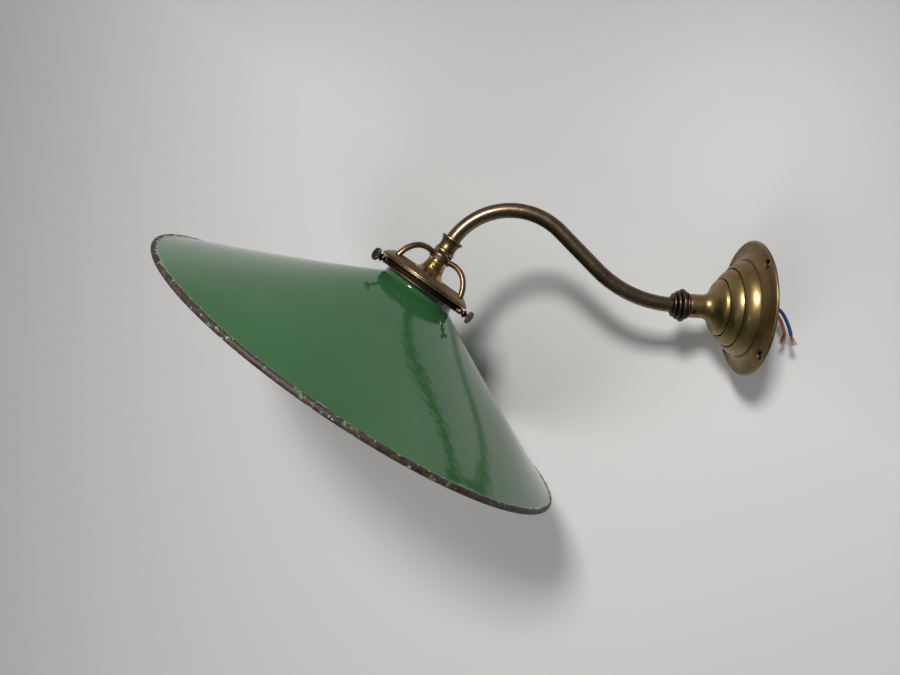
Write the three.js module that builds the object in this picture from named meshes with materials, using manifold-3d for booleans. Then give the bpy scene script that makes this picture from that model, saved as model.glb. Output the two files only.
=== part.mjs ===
// Swan neck wall light: a brass rose, a bent tube that turns in the rose's neck, a three armed
// gallery, a bayonet lampholder and an enamelled coolie shade.
//
// Millimetres. The wall is the plane y = 0, the light stands out along -Y and +Z is up. The origin
// is the centre of the rose's back face. The tube is bent in the plane x = 0.
import * as THREE from "three";
import { mergeVertices } from "three/addons/utils/BufferGeometryUtils.js";
import Module from "manifold-3d";

const wasm = await Module();
wasm.setup();

const degrees = THREE.MathUtils.degToRad;

// ---- Driving dimensions ---------------------------------------------------------------------

// Space left between pieces that seat, slide or screw together.
const FIT = 0.3;

// Swan neck: straight out of the rose, an upward bend, a straight rise, then the crook.
const TUBE_RADIUS = 5;
const TUBE_WALL = 1.2;
const OUTREACH = 48;
const RISE_BEND = 78;
const RISE_ANGLE = degrees(42.5);
const RISE_LENGTH = 35.5;
const CROOK_BEND = 47;
const HEAD_TILT = degrees(31.8);
const TUBE_TAIL = 15.5;

// Rose: flange, cove, drum, step, trumpet and neck, each given by where it ends above the wall.
const ROSE_RADIUS = 44.8;
const ROSE_WALL = 1.3;
const FLANGE_TOP = 2;
const COVE_TOP = 5.6;
const DRUM_RADIUS = 31.8;
const DRUM_TOP = 12.6;
const STEP_RADIUS = 25.6;
const STEP_TOP = 18.6;
const BELL_RADIUS = 18.6;
const FLARE_TOP = 30.5;
const ROSE_TOP = 39.3;
const NECK_WALL = 2.6;
const FIXING_HOLE_RADIUS = 2.2;
const FIXING_CIRCLE = 40;
const FIXING_COUNT = 4;

// Fastenings in the rose.
const NUT_RADIUS = 8.6;
const NUT_HEIGHT = 3.4;
const WASHER_RADIUS = 8.2;
const WASHER_HEIGHT = 1;
const GRUB_RADIUS = 1.2;
const GRUB_DROP = 2.1;
const GRUB_TURN = degrees(-30);

// Reeded collar: four ribs round the tube where it leaves the rose.
const COLLAR_LENGTH = 11.4;
const RIBS = [
  { at: 1.3, radius: 9.2, half: 1.3 },
  { at: 4.2, radius: 11, half: 1.6 },
  { at: 7.1, radius: 9.6, half: 1.3 },
  { at: 9.7, radius: 8, half: 1.2 },
];
const RIB_GROOVE = 1.3;

// Head: coupling, lock ring and gallery hub, stacked down the shade's axis from the tube's bend.
// The coupling also rises a little way over the bend.
const COUPLING_HEIGHT = 9.3;
const COUPLING_RISE = 1.4;
const COUPLING_FLANGE_RADIUS = 7.8;
const COUPLING_WAIST_RADIUS = 5.9;
const COUPLING_FOOT_RADIUS = 7.2;
const SOCKET_DEPTH = 3.3;
const NIPPLE_RADIUS = 4.4;
const NIPPLE_WALL = 1;
const LOCK_RING_RADIUS = 6.9;
const LOCK_RING_HEIGHT = 1.6;
const LOCK_RING_TEETH = 22;
const HUB_RADIUS = 7.7;
const HUB_HEIGHT = 4.6;

// Shade: collar and lip at its neck, a slightly sagging cone, and a rolled bead at the rim.
const SHADE_RADIUS = 152.5;
const SHADE_HEIGHT = 64;
const SHADE_SAG = 3;
const SHADE_WALL = 1;
const SHADE_NECK_RADIUS = 25.6;
const SHADE_NECK_HEIGHT = 6.7;
const SHADE_LIP = 2.2;
const SHADE_LIP_HEIGHT = 2.4;
const BEAD_RADIUS = 1.9;

// Gallery: a band round the shade's lip, a skirt over it, and three arms up to the hub.
const LIP_ROOM = 1.8;
const BAND_WALL = 1.2;
const BAND_HEIGHT = 4.5;
const SKIRT_OVERHANG = 3;
const SKIRT_HEIGHT = 6;
const SKIRT_SLOPE = 6.2;
const SKIRT_DROP = 26.6;
const ARM_WIDTH = 4.4;
const ARM_THICKNESS = 3.8;
const GALLERY_TURN = degrees(52);

// Thumb screws through bosses on the band.
const SCREW_COUNT = 3;
const SCREW_RADIUS = 1.3;
const SCREW_BELOW_RIM = 2.4;
const BOSS_RADIUS = 2.1;
const BOSS_LENGTH = 3.6;
const SCREW_BEAD_RADIUS = 2.6;
const SCREW_HEAD_RADIUS = 4.2;
const SCREW_HEAD_WIDTH = 2.2;
const SCREW_SHOULDER = 2.6;
const SCREW_STANDOFF = 3.2;

// Bayonet lampholder.
const CAP_NECK_RADIUS = 6.9;
const CAP_NECK_HEIGHT = 5;
const CAP_CLEARANCE = 1;
const CAP_DOME_HEIGHT = 10.5;
const CAP_SKIRT_HEIGHT = 4;
const CAP_WALL = 1;
const BARREL_BORE = 11.2;
const BARREL_WALL = 1;
const BARREL_LENGTH = 25;
const BARREL_UPSTAND = 3.6;
const BARREL_FLANGE = 1.5;
const SLOT_WIDTH = 2.4;
const SLOT_DEPTH = 9;
const SLOT_HOOK = 3.4;
const INSERT_HEIGHT = 10;
const BRIDGE_RADIUS = 8.6;
const BRIDGE_HEIGHT = 5.4;
const RING_HEIGHT = 6;
const RING_WALL = 1.8;
const RING_FLANGE = 2.2;
const RING_BELOW_FLANGE = 7;

// Contacts.
const CONTACT_SPACING = 4.2;
const CONTACT_BORE = 2.5;
const PLUNGER_RADIUS = 2.1;
const PLUNGER_LENGTH = 12;
const PLUNGER_STANDS_OUT = 4.2;
const POST_RADIUS = 2.1;
const POST_STANDS_OUT = 2.2;
const POST_DEPTH = 2.8;
const CLAMP_RADIUS = 1.1;
const CLAMP_LENGTH = 2.4;
const SPRING_WIRE = 0.3;
const SPRING_TURNS = 3;

// Wires: two insulated cores, bare and frayed at the wall end.
const WIRE_RADIUS = 1.15;
const STRAND_LENGTH = 9;

// ---- Places worked out from those sizes --------------------------------------------------------

const boreRadius = TUBE_RADIUS + FIT;
const neckRadius = boreRadius + NECK_WALL;
const washerSeat = STEP_TOP + 3.4;
const washerBack = washerSeat - FIT - WASHER_HEIGHT;
const nutBack = washerBack - FIT - NUT_HEIGHT;
const collarFoot = ROSE_TOP + FIT;

const nippleBore = NIPPLE_RADIUS + FIT;
const lockRingTop = COUPLING_HEIGHT + FIT;
const hubTop = lockRingTop + LOCK_RING_HEIGHT + FIT;
const capTop = hubTop + HUB_HEIGHT + FIT;
const domeTop = capTop + CAP_NECK_HEIGHT;
const capFoot = domeTop + CAP_DOME_HEIGHT + CAP_SKIRT_HEIGHT;

const bandInside = SHADE_NECK_RADIUS + SHADE_LIP + LIP_ROOM;
const bandOutside = bandInside + BAND_WALL;
const skirtRadius = bandOutside + SKIRT_OVERHANG;
const skirtFoot = SKIRT_DROP + SKIRT_HEIGHT;
const bandFoot = skirtFoot + BAND_HEIGHT;
const screwDrop = skirtFoot + SCREW_BELOW_RIM;
const lipFoot = screwDrop - SCREW_RADIUS - FIT;
const rimDrop = lipFoot + SHADE_NECK_HEIGHT + SHADE_HEIGHT;

const flangeTop = capFoot + FIT;
const barrelRadius = BARREL_BORE + BARREL_WALL;
const capRadius = barrelRadius + CAP_CLEARANCE + CAP_WALL;
const insertRadius = BARREL_BORE - FIT;
const insertTop = flangeTop - BARREL_UPSTAND;
const bridgeTop = insertTop - BRIDGE_HEIGHT;
const insertFoot = insertTop + INSERT_HEIGHT;
const plungerFoot = insertFoot + PLUNGER_STANDS_OUT;
const plungerTop = plungerFoot - PLUNGER_LENGTH;
const postFoot = bridgeTop + POST_DEPTH;
const postTop = bridgeTop - POST_STANDS_OUT;

// ---- Finishes ------------------------------------------------------------------------------------

const finish = (color, roughness, metalness) =>
  new THREE.MeshStandardMaterial({ color, roughness, metalness });

const agedBrass = finish("#7d6a45", 0.42, 0.9);
const brownBrass = finish("#5c4b3b", 0.45, 0.85);
const bronze = finish("#3b2b26", 0.5, 0.8);
const brightBrass = finish("#c9a24f", 0.25, 1);
const greenEnamel = finish("#2f5a3c", 0.12, 0);
const porcelain = finish("#e9e6dc", 0.25, 0);
const steel = finish("#8d8f90", 0.35, 0.9);
const blueCore = finish("#1f4a78", 0.5, 0);
const brownCore = finish("#6b3a26", 0.5, 0);
const copper = finish("#b8704a", 0.4, 0.9);

// ---- Building blocks -----------------------------------------------------------------------------

const at = (radius, height) => new THREE.Vector2(radius, height);

// Points of an arc about (x, y), from one angle to another, both in degrees.
function arc(x, y, radius, from, to, count = 4) {
  return Array.from({ length: count + 1 }, (_, i) => {
    const angle = degrees(from + ((to - from) * i) / count);
    return at(x + radius * Math.cos(angle), y + radius * Math.sin(angle));
  });
}

// Turns an outline about the Y axis. An outline that doesn't start and end on the axis is closed
// into a ring, and it is put in the order that makes its faces point outwards.
function turned(outline, segments = 32) {
  const ring = outline.map((point) => point.clone());
  if (THREE.ShapeUtils.area(ring) < 0) ring.reverse();
  if (ring[0].x > 0 || ring[ring.length - 1].x > 0) ring.push(ring[0].clone());
  return new THREE.LatheGeometry(ring, segments);
}

// A plain round bar or a tube on the Y axis.
function bar(radius, low, high, segments = 24) {
  return turned([at(0, low), at(radius, low), at(radius, high), at(0, high)], segments);
}

function sleeve(bore, radius, low, high, segments = 32) {
  return turned([at(bore, low), at(radius, low), at(radius, high), at(bore, high)], segments);
}

function roundShape(radius, sides) {
  return new THREE.Shape(
    Array.from({ length: sides }, (_, i) => {
      const angle = (2 * Math.PI * i) / sides;
      return at(radius * Math.cos(angle), radius * Math.sin(angle));
    })
  );
}

// Carries a flat shape along a curve.
function swept(shape, curve, steps) {
  return new THREE.ExtrudeGeometry(shape, { steps, extrudePath: curve, bevelEnabled: false });
}

function toSolid(geometry) {
  const bare = geometry.clone();
  bare.deleteAttribute("normal");
  bare.deleteAttribute("uv");
  const merged = mergeVertices(bare, 1e-4);
  const corners = merged.index.array;
  const triVerts = [];
  for (let i = 0; i < corners.length; i += 3) {
    const [a, b, c] = corners.slice(i, i + 3);
    if (a !== b && b !== c && c !== a) triVerts.push(a, b, c);
  }
  const vertProperties = new Float32Array(merged.attributes.position.array);
  const mesh = { numProp: 3, vertProperties, triVerts: new Uint32Array(triVerts) };
  return new wasm.Manifold(new wasm.Mesh(mesh));
}

function toGeometry(solid) {
  const mesh = solid.getMesh();
  const geometry = new THREE.BufferGeometry();
  geometry.setAttribute("position", new THREE.BufferAttribute(mesh.vertProperties, 3));
  geometry.setIndex(new THREE.BufferAttribute(mesh.triVerts, 1));
  geometry.computeVertexNormals();
  return geometry;
}

function cut(geometry, tools) {
  return toGeometry(tools.reduce((solid, tool) => solid.subtract(toSolid(tool)), toSolid(geometry)));
}

function join(geometries) {
  return toGeometry(geometries.map(toSolid).reduce((joined, solid) => joined.add(solid)));
}

function addPiece(group, name, geometry, material) {
  const mesh = new THREE.Mesh(geometry, material);
  mesh.name = name;
  group.add(mesh);
  return mesh;
}

// ---- Swan neck -------------------------------------------------------------------------------------

// Walks straights and bends in the plane x = 0 from a point inside the rose, heading away from
// the wall. A bend's turn is positive upwards. It gives the points passed and the last heading.
function walk(start, runs) {
  const stepLength = 4.5;
  const points = [new THREE.Vector3(0, -start, 0)];
  let heading = 0;
  for (const { length, turn = 0 } of runs) {
    const count = Math.ceil(length / stepLength);
    const step = turn / count;
    const chord = turn ? 2 * Math.abs(length / turn) * Math.sin(Math.abs(step) / 2) : length / count;
    for (let i = 0; i < count; i += 1) {
      const direction = heading + step / 2;
      const last = points[points.length - 1];
      const move = new THREE.Vector3(0, -Math.cos(direction), Math.sin(direction));
      points.push(last.clone().addScaledVector(move, chord));
      heading += step;
    }
  }
  return { points, heading };
}

const bend = (radius, turn) => ({ length: radius * Math.abs(turn), turn });
const crookTurn = RISE_ANGLE + Math.PI / 2 - HEAD_TILT;
const neckRuns = [
  { length: OUTREACH - TUBE_TAIL },
  bend(RISE_BEND, RISE_ANGLE),
  { length: RISE_LENGTH },
  bend(CROOK_BEND, -crookTurn),
];
const neckEnd = walk(TUBE_TAIL, neckRuns).points.pop();

function swanNeck(group) {
  const { points } = walk(TUBE_TAIL, [...neckRuns, { length: SOCKET_DEPTH - FIT }]);
  const section = roundShape(TUBE_RADIUS, 14);
  section.holes.push(new THREE.Path(roundShape(TUBE_RADIUS - TUBE_WALL, 14).getPoints()));
  const centreline = new THREE.CatmullRomCurve3(points);
  addPiece(group, "swan_neck_tube", swept(section, centreline, 34), brownBrass);
}

// ---- Rose and what holds the arm in it. In this group +Y points away from the wall. ------------------

// A bulging step from its foot to its top: part straight slope, part a quarter of an ellipse.
function band(lowRadius, low, highRadius, high, count = 6) {
  return Array.from({ length: count + 1 }, (_, i) => {
    const share = i / count;
    const angle = (share * Math.PI) / 2;
    const inward = 0.4 * share + 0.6 * (1 - Math.cos(angle));
    const upward = 0.4 * share + 0.6 * Math.sin(angle);
    return at(lowRadius + (highRadius - lowRadius) * inward, low + (high - low) * upward);
  });
}

function roseOutline() {
  const edge = 0.6;
  const groove = 0.45;
  const lining = groove + ROSE_WALL;
  return [
    at(ROSE_RADIUS - edge, 0),
    at(ROSE_RADIUS, edge),
    at(ROSE_RADIUS, FLANGE_TOP - edge),
    at(ROSE_RADIUS - edge, FLANGE_TOP),
    at(ROSE_RADIUS - 3 * edge, FLANGE_TOP),
    at(DRUM_RADIUS + 3, COVE_TOP - 1.8),
    at(DRUM_RADIUS + groove, COVE_TOP - 0.5),
    ...band(DRUM_RADIUS, COVE_TOP, STEP_RADIUS + 2 * groove, DRUM_TOP),
    at(STEP_RADIUS + groove, DRUM_TOP - groove),
    ...band(STEP_RADIUS, DRUM_TOP, BELL_RADIUS + 2 * groove, STEP_TOP),
    at(BELL_RADIUS + groove, STEP_TOP - groove),
    at(BELL_RADIUS, STEP_TOP + groove),
    ...new THREE.CubicBezierCurve(
      at(BELL_RADIUS - 0.3, STEP_TOP + 1.6),
      at(BELL_RADIUS - 2.1, STEP_TOP + 5.4),
      at(neckRadius + 0.7, STEP_TOP + 4.6),
      at(neckRadius, FLARE_TOP)
    ).getPoints(5),
    at(neckRadius, ROSE_TOP),
    at(boreRadius, ROSE_TOP),
    at(boreRadius, washerSeat),
    at(WASHER_RADIUS + FIT, washerSeat),
    at(BELL_RADIUS - 5.4, STEP_TOP + 2.6),
    at(BELL_RADIUS - 1.8, STEP_TOP + 0.2),
    ...band(STEP_RADIUS - lining, DRUM_TOP - lining, BELL_RADIUS - 1.8, STEP_TOP - lining, 4).reverse(),
    ...band(DRUM_RADIUS - lining, COVE_TOP - lining, STEP_RADIUS - ROSE_WALL, DRUM_TOP - lining, 4)
      .slice(0, -1)
      .reverse(),
    at(DRUM_RADIUS - lining, 0),
  ];
}

function rose(group) {
  const holes = Array.from({ length: FIXING_COUNT }, (_, i) => {
    const hole = turned(
      [
        at(0, -1),
        at(FIXING_HOLE_RADIUS, -1),
        at(FIXING_HOLE_RADIUS, FLANGE_TOP - 1),
        at(FIXING_HOLE_RADIUS + 1.4, FLANGE_TOP + 1),
        at(0, FLANGE_TOP + 1),
      ],
      12
    );
    hole.translate(FIXING_CIRCLE, 0, 0);
    return hole.rotateY((2 * Math.PI * (i + 0.5)) / FIXING_COUNT);
  });
  const grubHole = bar(GRUB_RADIUS + FIT, boreRadius - 1, neckRadius + 1, 12);
  placeGrub(grubHole);
  addPiece(group, "rose", cut(turned(roseOutline(), 36), [...holes, grubHole]), agedBrass);
}

// Lays a bar that stands on the Y axis along the grub screw's line, out through the neck.
function placeGrub(geometry) {
  geometry.rotateZ(Math.PI / 2);
  geometry.rotateY(GRUB_TURN);
  return geometry.translate(0, ROSE_TOP - GRUB_DROP, 0);
}

function roseFastenings(group) {
  const grub = bar(GRUB_RADIUS, boreRadius + FIT, neckRadius - FIT, 12);
  addPiece(group, "neck_grub_screw", placeGrub(grub), bronze);
  const washer = sleeve(boreRadius, WASHER_RADIUS, washerBack, washerBack + WASHER_HEIGHT, 24);
  addPiece(group, "arm_washer", washer, steel);
  const hexagon = bar(NUT_RADIUS, nutBack, nutBack + NUT_HEIGHT, 6);
  const thread = bar(boreRadius, nutBack - 1, nutBack + NUT_HEIGHT + 1, 24);
  addPiece(group, "arm_backnut", cut(hexagon, [thread]), agedBrass);
}

function armCollar(group) {
  const outline = [at(boreRadius, 0)];
  for (const { at: height, radius, half } of RIBS) {
    outline.push(
      at(radius - RIB_GROOVE, height - half),
      at(radius, height - half / 2),
      at(radius, height + half / 2),
      at(radius - RIB_GROOVE, height + half)
    );
  }
  outline.push(at(boreRadius + 0.6, COLLAR_LENGTH), at(boreRadius, COLLAR_LENGTH));
  const collar = turned(outline, 24);
  addPiece(group, "arm_collar", collar.translate(0, collarFoot, 0), bronze);
}

// ---- Head. In these functions +Y points up the shade's axis, and a drop is measured down it. ---------

function coupling(group) {
  const top = COUPLING_RISE;
  const middle = (COUPLING_HEIGHT - top) / 2;
  const outline = [
    at(boreRadius, top),
    at(COUPLING_FLANGE_RADIUS - 0.5, top),
    at(COUPLING_FLANGE_RADIUS, top - 0.5),
    at(COUPLING_FLANGE_RADIUS, top - 1.3),
    at(COUPLING_FLANGE_RADIUS - 0.9, top - 2),
    ...new THREE.QuadraticBezierCurve(
      at(COUPLING_WAIST_RADIUS + 0.8, top - 2.6),
      at(COUPLING_WAIST_RADIUS - 0.5, -middle),
      at(COUPLING_FOOT_RADIUS - 0.7, 1.6 - COUPLING_HEIGHT)
    ).getPoints(5),
    at(COUPLING_FOOT_RADIUS, 1.2 - COUPLING_HEIGHT),
    at(COUPLING_FOOT_RADIUS, -COUPLING_HEIGHT),
    at(nippleBore, -COUPLING_HEIGHT),
    at(nippleBore, -SOCKET_DEPTH),
    at(boreRadius, -SOCKET_DEPTH),
  ];
  addPiece(group, "shade_coupling", turned(outline, 24), agedBrass);
}

function lockRing(group) {
  const pitch = Math.PI / LOCK_RING_TEETH;
  const outline = Array.from({ length: 2 * LOCK_RING_TEETH }, (_, i) => {
    const radius = LOCK_RING_RADIUS - (i % 2 ? 0.35 : 0);
    return at(radius * Math.cos(i * pitch), radius * Math.sin(i * pitch));
  });
  const shape = new THREE.Shape(outline);
  shape.holes.push(new THREE.Path(roundShape(nippleBore, 24).getPoints()));
  const ring = new THREE.ExtrudeGeometry(shape, { depth: LOCK_RING_HEIGHT, bevelEnabled: false });
  ring.rotateX(Math.PI / 2);
  addPiece(group, "gallery_lock_ring", ring.translate(0, -lockRingTop, 0), bronze);
}

function nipple(group) {
  const top = -SOCKET_DEPTH - FIT;
  const foot = -domeTop - CAP_WALL;
  const tube = sleeve(NIPPLE_RADIUS - NIPPLE_WALL, NIPPLE_RADIUS, foot, top, 24);
  addPiece(group, "holder_nipple", tube, agedBrass);
}

// One arm: an oval bar that leaves the hub level, then bends over and drops to the skirt's top.
function galleryArm(angle) {
  const inner = HUB_RADIUS - 1.8;
  const outer = bandInside - 1.2;
  const start = hubTop + HUB_HEIGHT - ARM_THICKNESS / 2 - FIT;
  const foot = SKIRT_DROP + 1.2;
  const point = (radius, drop) => new THREE.Vector3(radius, -drop, 0);
  const line = new THREE.CubicBezierCurve3(
    point(inner, start),
    point(inner + 0.36 * (outer - inner), start - 2.8),
    point(outer - 3.5, start - 0.4),
    point(outer, foot)
  );
  const section = roundShape(1, 8);
  const oval = new THREE.Shape(
    section.getPoints().map((p) => at((p.x * ARM_WIDTH) / 2, (p.y * ARM_THICKNESS) / 2))
  );
  return swept(oval, line, 9).rotateY(-angle);
}

// Skirt and band in one ring: two fine beads at the rim, the cone above them, the band below.
function galleryRing() {
  const top = skirtRadius - SKIRT_SLOPE;
  return turned(
    [
      at(bandInside, -bandFoot),
      at(bandOutside, -bandFoot),
      at(bandOutside, -skirtFoot),
      at(skirtRadius - 0.5, -skirtFoot),
      at(skirtRadius, 0.4 - skirtFoot),
      at(skirtRadius, 1 - skirtFoot),
      at(skirtRadius - 0.6, 1.3 - skirtFoot),
      at(skirtRadius - 0.3, 1.6 - skirtFoot),
      at(skirtRadius - 0.4, 2.1 - skirtFoot),
      at(top + 0.3, -SKIRT_DROP),
      at(top - 0.5, -SKIRT_DROP),
      at(top - 0.5, -SKIRT_DROP - 1),
      at(bandInside, 3 - skirtFoot),
    ],
    40
  );
}

const screwAngle = (index) => GALLERY_TURN + (2 * Math.PI * index) / SCREW_COUNT;

// Lays a piece that stands on the Y axis along one screw's line, out from the shade's axis.
function placeRadially(geometry, index) {
  geometry.rotateZ(-Math.PI / 2);
  geometry.rotateY(-screwAngle(index));
  return geometry.translate(0, -screwDrop, 0);
}

function gallery(group) {
  const hub = bar(HUB_RADIUS, -hubTop - HUB_HEIGHT, -hubTop, 32);
  const bore = bar(nippleBore, -hubTop - 2 * HUB_HEIGHT, 0, 24);
  const indices = Array.from({ length: SCREW_COUNT }, (_, index) => index);
  const arms = indices.map((index) => galleryArm(screwAngle(index)));
  const holeRadius = SCREW_RADIUS + FIT;
  const holes = indices.map((index) =>
    placeRadially(bar(holeRadius, bandInside - 1, bandOutside + 1, 12), index)
  );
  const whole = join([galleryRing(), hub, ...arms]);
  addPiece(group, "gallery", cut(whole, [bore, ...holes]), brownBrass);
}

function thumbScrews(group) {
  const bossStart = bandOutside + FIT;
  const bossEnd = bossStart + BOSS_LENGTH;
  const bead = bossEnd + SCREW_SHOULDER;
  const head = bead + SCREW_STANDOFF + SCREW_HEAD_WIDTH / 2;
  const outline = [
    at(0, SHADE_NECK_RADIUS + FIT),
    at(SCREW_RADIUS, SHADE_NECK_RADIUS + FIT + 0.5),
    at(SCREW_RADIUS, bead - 0.9),
    at(SCREW_BEAD_RADIUS, bead - 0.4),
    at(SCREW_BEAD_RADIUS, bead + 0.4),
    at(SCREW_RADIUS, bead + 1),
    at(SCREW_RADIUS, head - SCREW_HEAD_WIDTH / 2),
    at(SCREW_HEAD_RADIUS, 0.5 + head - SCREW_HEAD_WIDTH / 2),
    at(SCREW_HEAD_RADIUS, head + SCREW_HEAD_WIDTH / 2 - 0.5),
    at(SCREW_HEAD_RADIUS - 0.6, head + SCREW_HEAD_WIDTH / 2),
    at(0, head + SCREW_HEAD_WIDTH / 2),
  ];
  for (let index = 0; index < SCREW_COUNT; index += 1) {
    const boss = sleeve(SCREW_RADIUS + FIT, BOSS_RADIUS, bossStart, bossEnd, 16);
    addPiece(group, `screw_boss_${index + 1}`, placeRadially(boss, index), brownBrass);
    const screw = placeRadially(turned(outline, 16), index);
    addPiece(group, `shade_screw_${index + 1}`, screw, bronze);
  }
}

// ---- Shade. Heights here are above the plane of its rim. -----------------------------------------------

// The cone's outside radius, from the bead (share 0) to the neck (share 1).
function coneRadius(share) {
  const start = SHADE_RADIUS - 1.6 * BEAD_RADIUS;
  const straight = start + (SHADE_NECK_RADIUS + 0.6 - start) * share;
  return straight - 4 * SHADE_SAG * share * (1 - share);
}

function shadeOutline() {
  const beadCentre = SHADE_RADIUS - BEAD_RADIUS;
  const coneFoot = 1.8 * BEAD_RADIUS;
  const rows = 6;
  const cone = Array.from({ length: rows + 1 }, (_, i) => {
    const share = i / rows;
    return at(coneRadius(share), coneFoot + (SHADE_HEIGHT - 1.5 - coneFoot) * share);
  });
  const inside = SHADE_NECK_RADIUS - SHADE_WALL;
  const lipTop = SHADE_HEIGHT + SHADE_NECK_HEIGHT + SHADE_LIP_HEIGHT;
  const underside = cone
    .slice(1, -1)
    .reverse()
    .map((point) => at(point.x, point.y - 1.12 * SHADE_WALL));
  return [
    ...arc(beadCentre, BEAD_RADIUS, BEAD_RADIUS, 210, 440, 7),
    ...cone,
    at(SHADE_NECK_RADIUS, SHADE_HEIGHT),
    at(SHADE_NECK_RADIUS, lipTop - SHADE_LIP_HEIGHT),
    at(SHADE_NECK_RADIUS + SHADE_LIP - 0.5, lipTop - SHADE_LIP_HEIGHT),
    at(SHADE_NECK_RADIUS + SHADE_LIP, lipTop - SHADE_LIP_HEIGHT / 2),
    at(SHADE_NECK_RADIUS + SHADE_LIP - 0.8, lipTop),
    at(inside, lipTop),
    at(inside, SHADE_HEIGHT - 1.5 - SHADE_WALL),
    ...underside,
  ];
}

function shade(group) {
  const geometry = turned(shadeOutline(), 56);
  addPiece(group, "enamel_shade", geometry.translate(0, -rimDrop, 0), greenEnamel);
}

// ---- Lampholder ----------------------------------------------------------------------------------------

function holderCap(group) {
  const dome = new THREE.CubicBezierCurve(
    at(CAP_NECK_RADIUS + 0.4, -domeTop - 0.4),
    at(CAP_NECK_RADIUS + 1.4, -domeTop - CAP_DOME_HEIGHT / 2),
    at(capRadius, -domeTop - CAP_DOME_HEIGHT / 2),
    at(capRadius, -domeTop - CAP_DOME_HEIGHT)
  ).getPoints(6);
  const lining = dome
    .slice(1)
    .reverse()
    .map((point) => at(point.x - CAP_WALL, point.y - 0.6 * CAP_WALL));
  const outline = [
    at(nippleBore, -capTop),
    at(CAP_NECK_RADIUS, -capTop),
    at(CAP_NECK_RADIUS, 1 - domeTop),
    at(CAP_NECK_RADIUS + 0.6, 0.6 - domeTop),
    at(CAP_NECK_RADIUS + 0.6, -domeTop),
    ...dome,
    at(capRadius, 2 - capFoot),
    at(capRadius + 0.8, 1.5 - capFoot),
    at(capRadius + 0.8, -capFoot),
    at(capRadius - CAP_WALL, -capFoot),
    ...lining,
    at(nippleBore, -domeTop - 1.4),
  ];
  addPiece(group, "holder_cap", turned(outline, 30), brightBrass);
}

// A straight entry from the open end, then a hook sideways where the lamp's pin rests.
function bayonetSlot(angle) {
  const foot = flangeTop + BARREL_LENGTH;
  const depth = 4 * BARREL_WALL;
  const entry = new THREE.BoxGeometry(depth, SLOT_DEPTH + 1, SLOT_WIDTH);
  entry.translate(BARREL_BORE, SLOT_DEPTH / 2 - foot - 0.5, 0);
  const hook = new THREE.BoxGeometry(depth, SLOT_WIDTH, SLOT_HOOK + SLOT_WIDTH);
  hook.translate(BARREL_BORE, SLOT_DEPTH - SLOT_WIDTH / 2 - foot, SLOT_HOOK / 2);
  return join([entry, hook]).rotateY(angle);
}

function holderBarrel(group) {
  const foot = -flangeTop - BARREL_LENGTH;
  const outline = [
    at(BARREL_BORE, BARREL_UPSTAND - flangeTop),
    at(barrelRadius, BARREL_UPSTAND - flangeTop),
    at(barrelRadius, -flangeTop),
    at(capRadius, -flangeTop),
    at(capRadius, -flangeTop - BARREL_FLANGE),
    at(barrelRadius, -flangeTop - BARREL_FLANGE),
    at(barrelRadius, foot),
    at(BARREL_BORE, foot),
  ];
  const slots = [0, Math.PI].map((angle) => bayonetSlot(angle));
  addPiece(group, "holder_barrel", cut(turned(outline, 30), slots), brightBrass);
}

function holderRing(group) {
  const bore = barrelRadius + FIT;
  const top = -flangeTop - RING_BELOW_FLANGE;
  const outline = [
    at(bore, top),
    at(bore + RING_WALL, top),
    at(bore + RING_WALL, top - RING_HEIGHT + 2.4),
    at(bore + RING_WALL + RING_FLANGE, top - RING_HEIGHT + 2),
    at(bore + RING_WALL + RING_FLANGE, top - RING_HEIGHT + 0.4),
    at(bore + RING_WALL + RING_FLANGE - 0.4, top - RING_HEIGHT),
    at(bore, top - RING_HEIGHT),
  ];
  addPiece(group, "holder_ring", turned(outline, 30), brightBrass);
}

function holderInsert(group) {
  const outline = [
    at(0, -insertFoot),
    at(insertRadius, -insertFoot),
    at(insertRadius, -insertTop),
    at(BRIDGE_RADIUS, -insertTop),
    at(BRIDGE_RADIUS, -bridgeTop),
    at(0, -bridgeTop),
  ];
  const bores = [1, -1].map((side) => {
    const bore = bar(CONTACT_BORE, -insertFoot - 1, 1 - bridgeTop, 16);
    return bore.translate(side * CONTACT_SPACING, 0, 0);
  });
  addPiece(group, "holder_insert", cut(turned(outline, 24), bores), porcelain);
}

// One contact's spring: a coil between the terminal post and the plunger's shoulder.
function contactSpring() {
  const radius = CONTACT_BORE - FIT - SPRING_WIRE;
  const top = postFoot + FIT + SPRING_WIRE;
  const length = plungerTop - FIT - SPRING_WIRE - top;
  const points = Array.from({ length: SPRING_TURNS * 10 + 1 }, (_, i) => {
    const angle = (2 * Math.PI * i) / 10;
    const drop = top + (length * i) / (SPRING_TURNS * 10);
    return new THREE.Vector3(radius * Math.cos(angle), -drop, radius * Math.sin(angle));
  });
  const wire = roundShape(SPRING_WIRE, 5);
  return swept(wire, new THREE.CatmullRomCurve3(points), SPRING_TURNS * 10);
}

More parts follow.
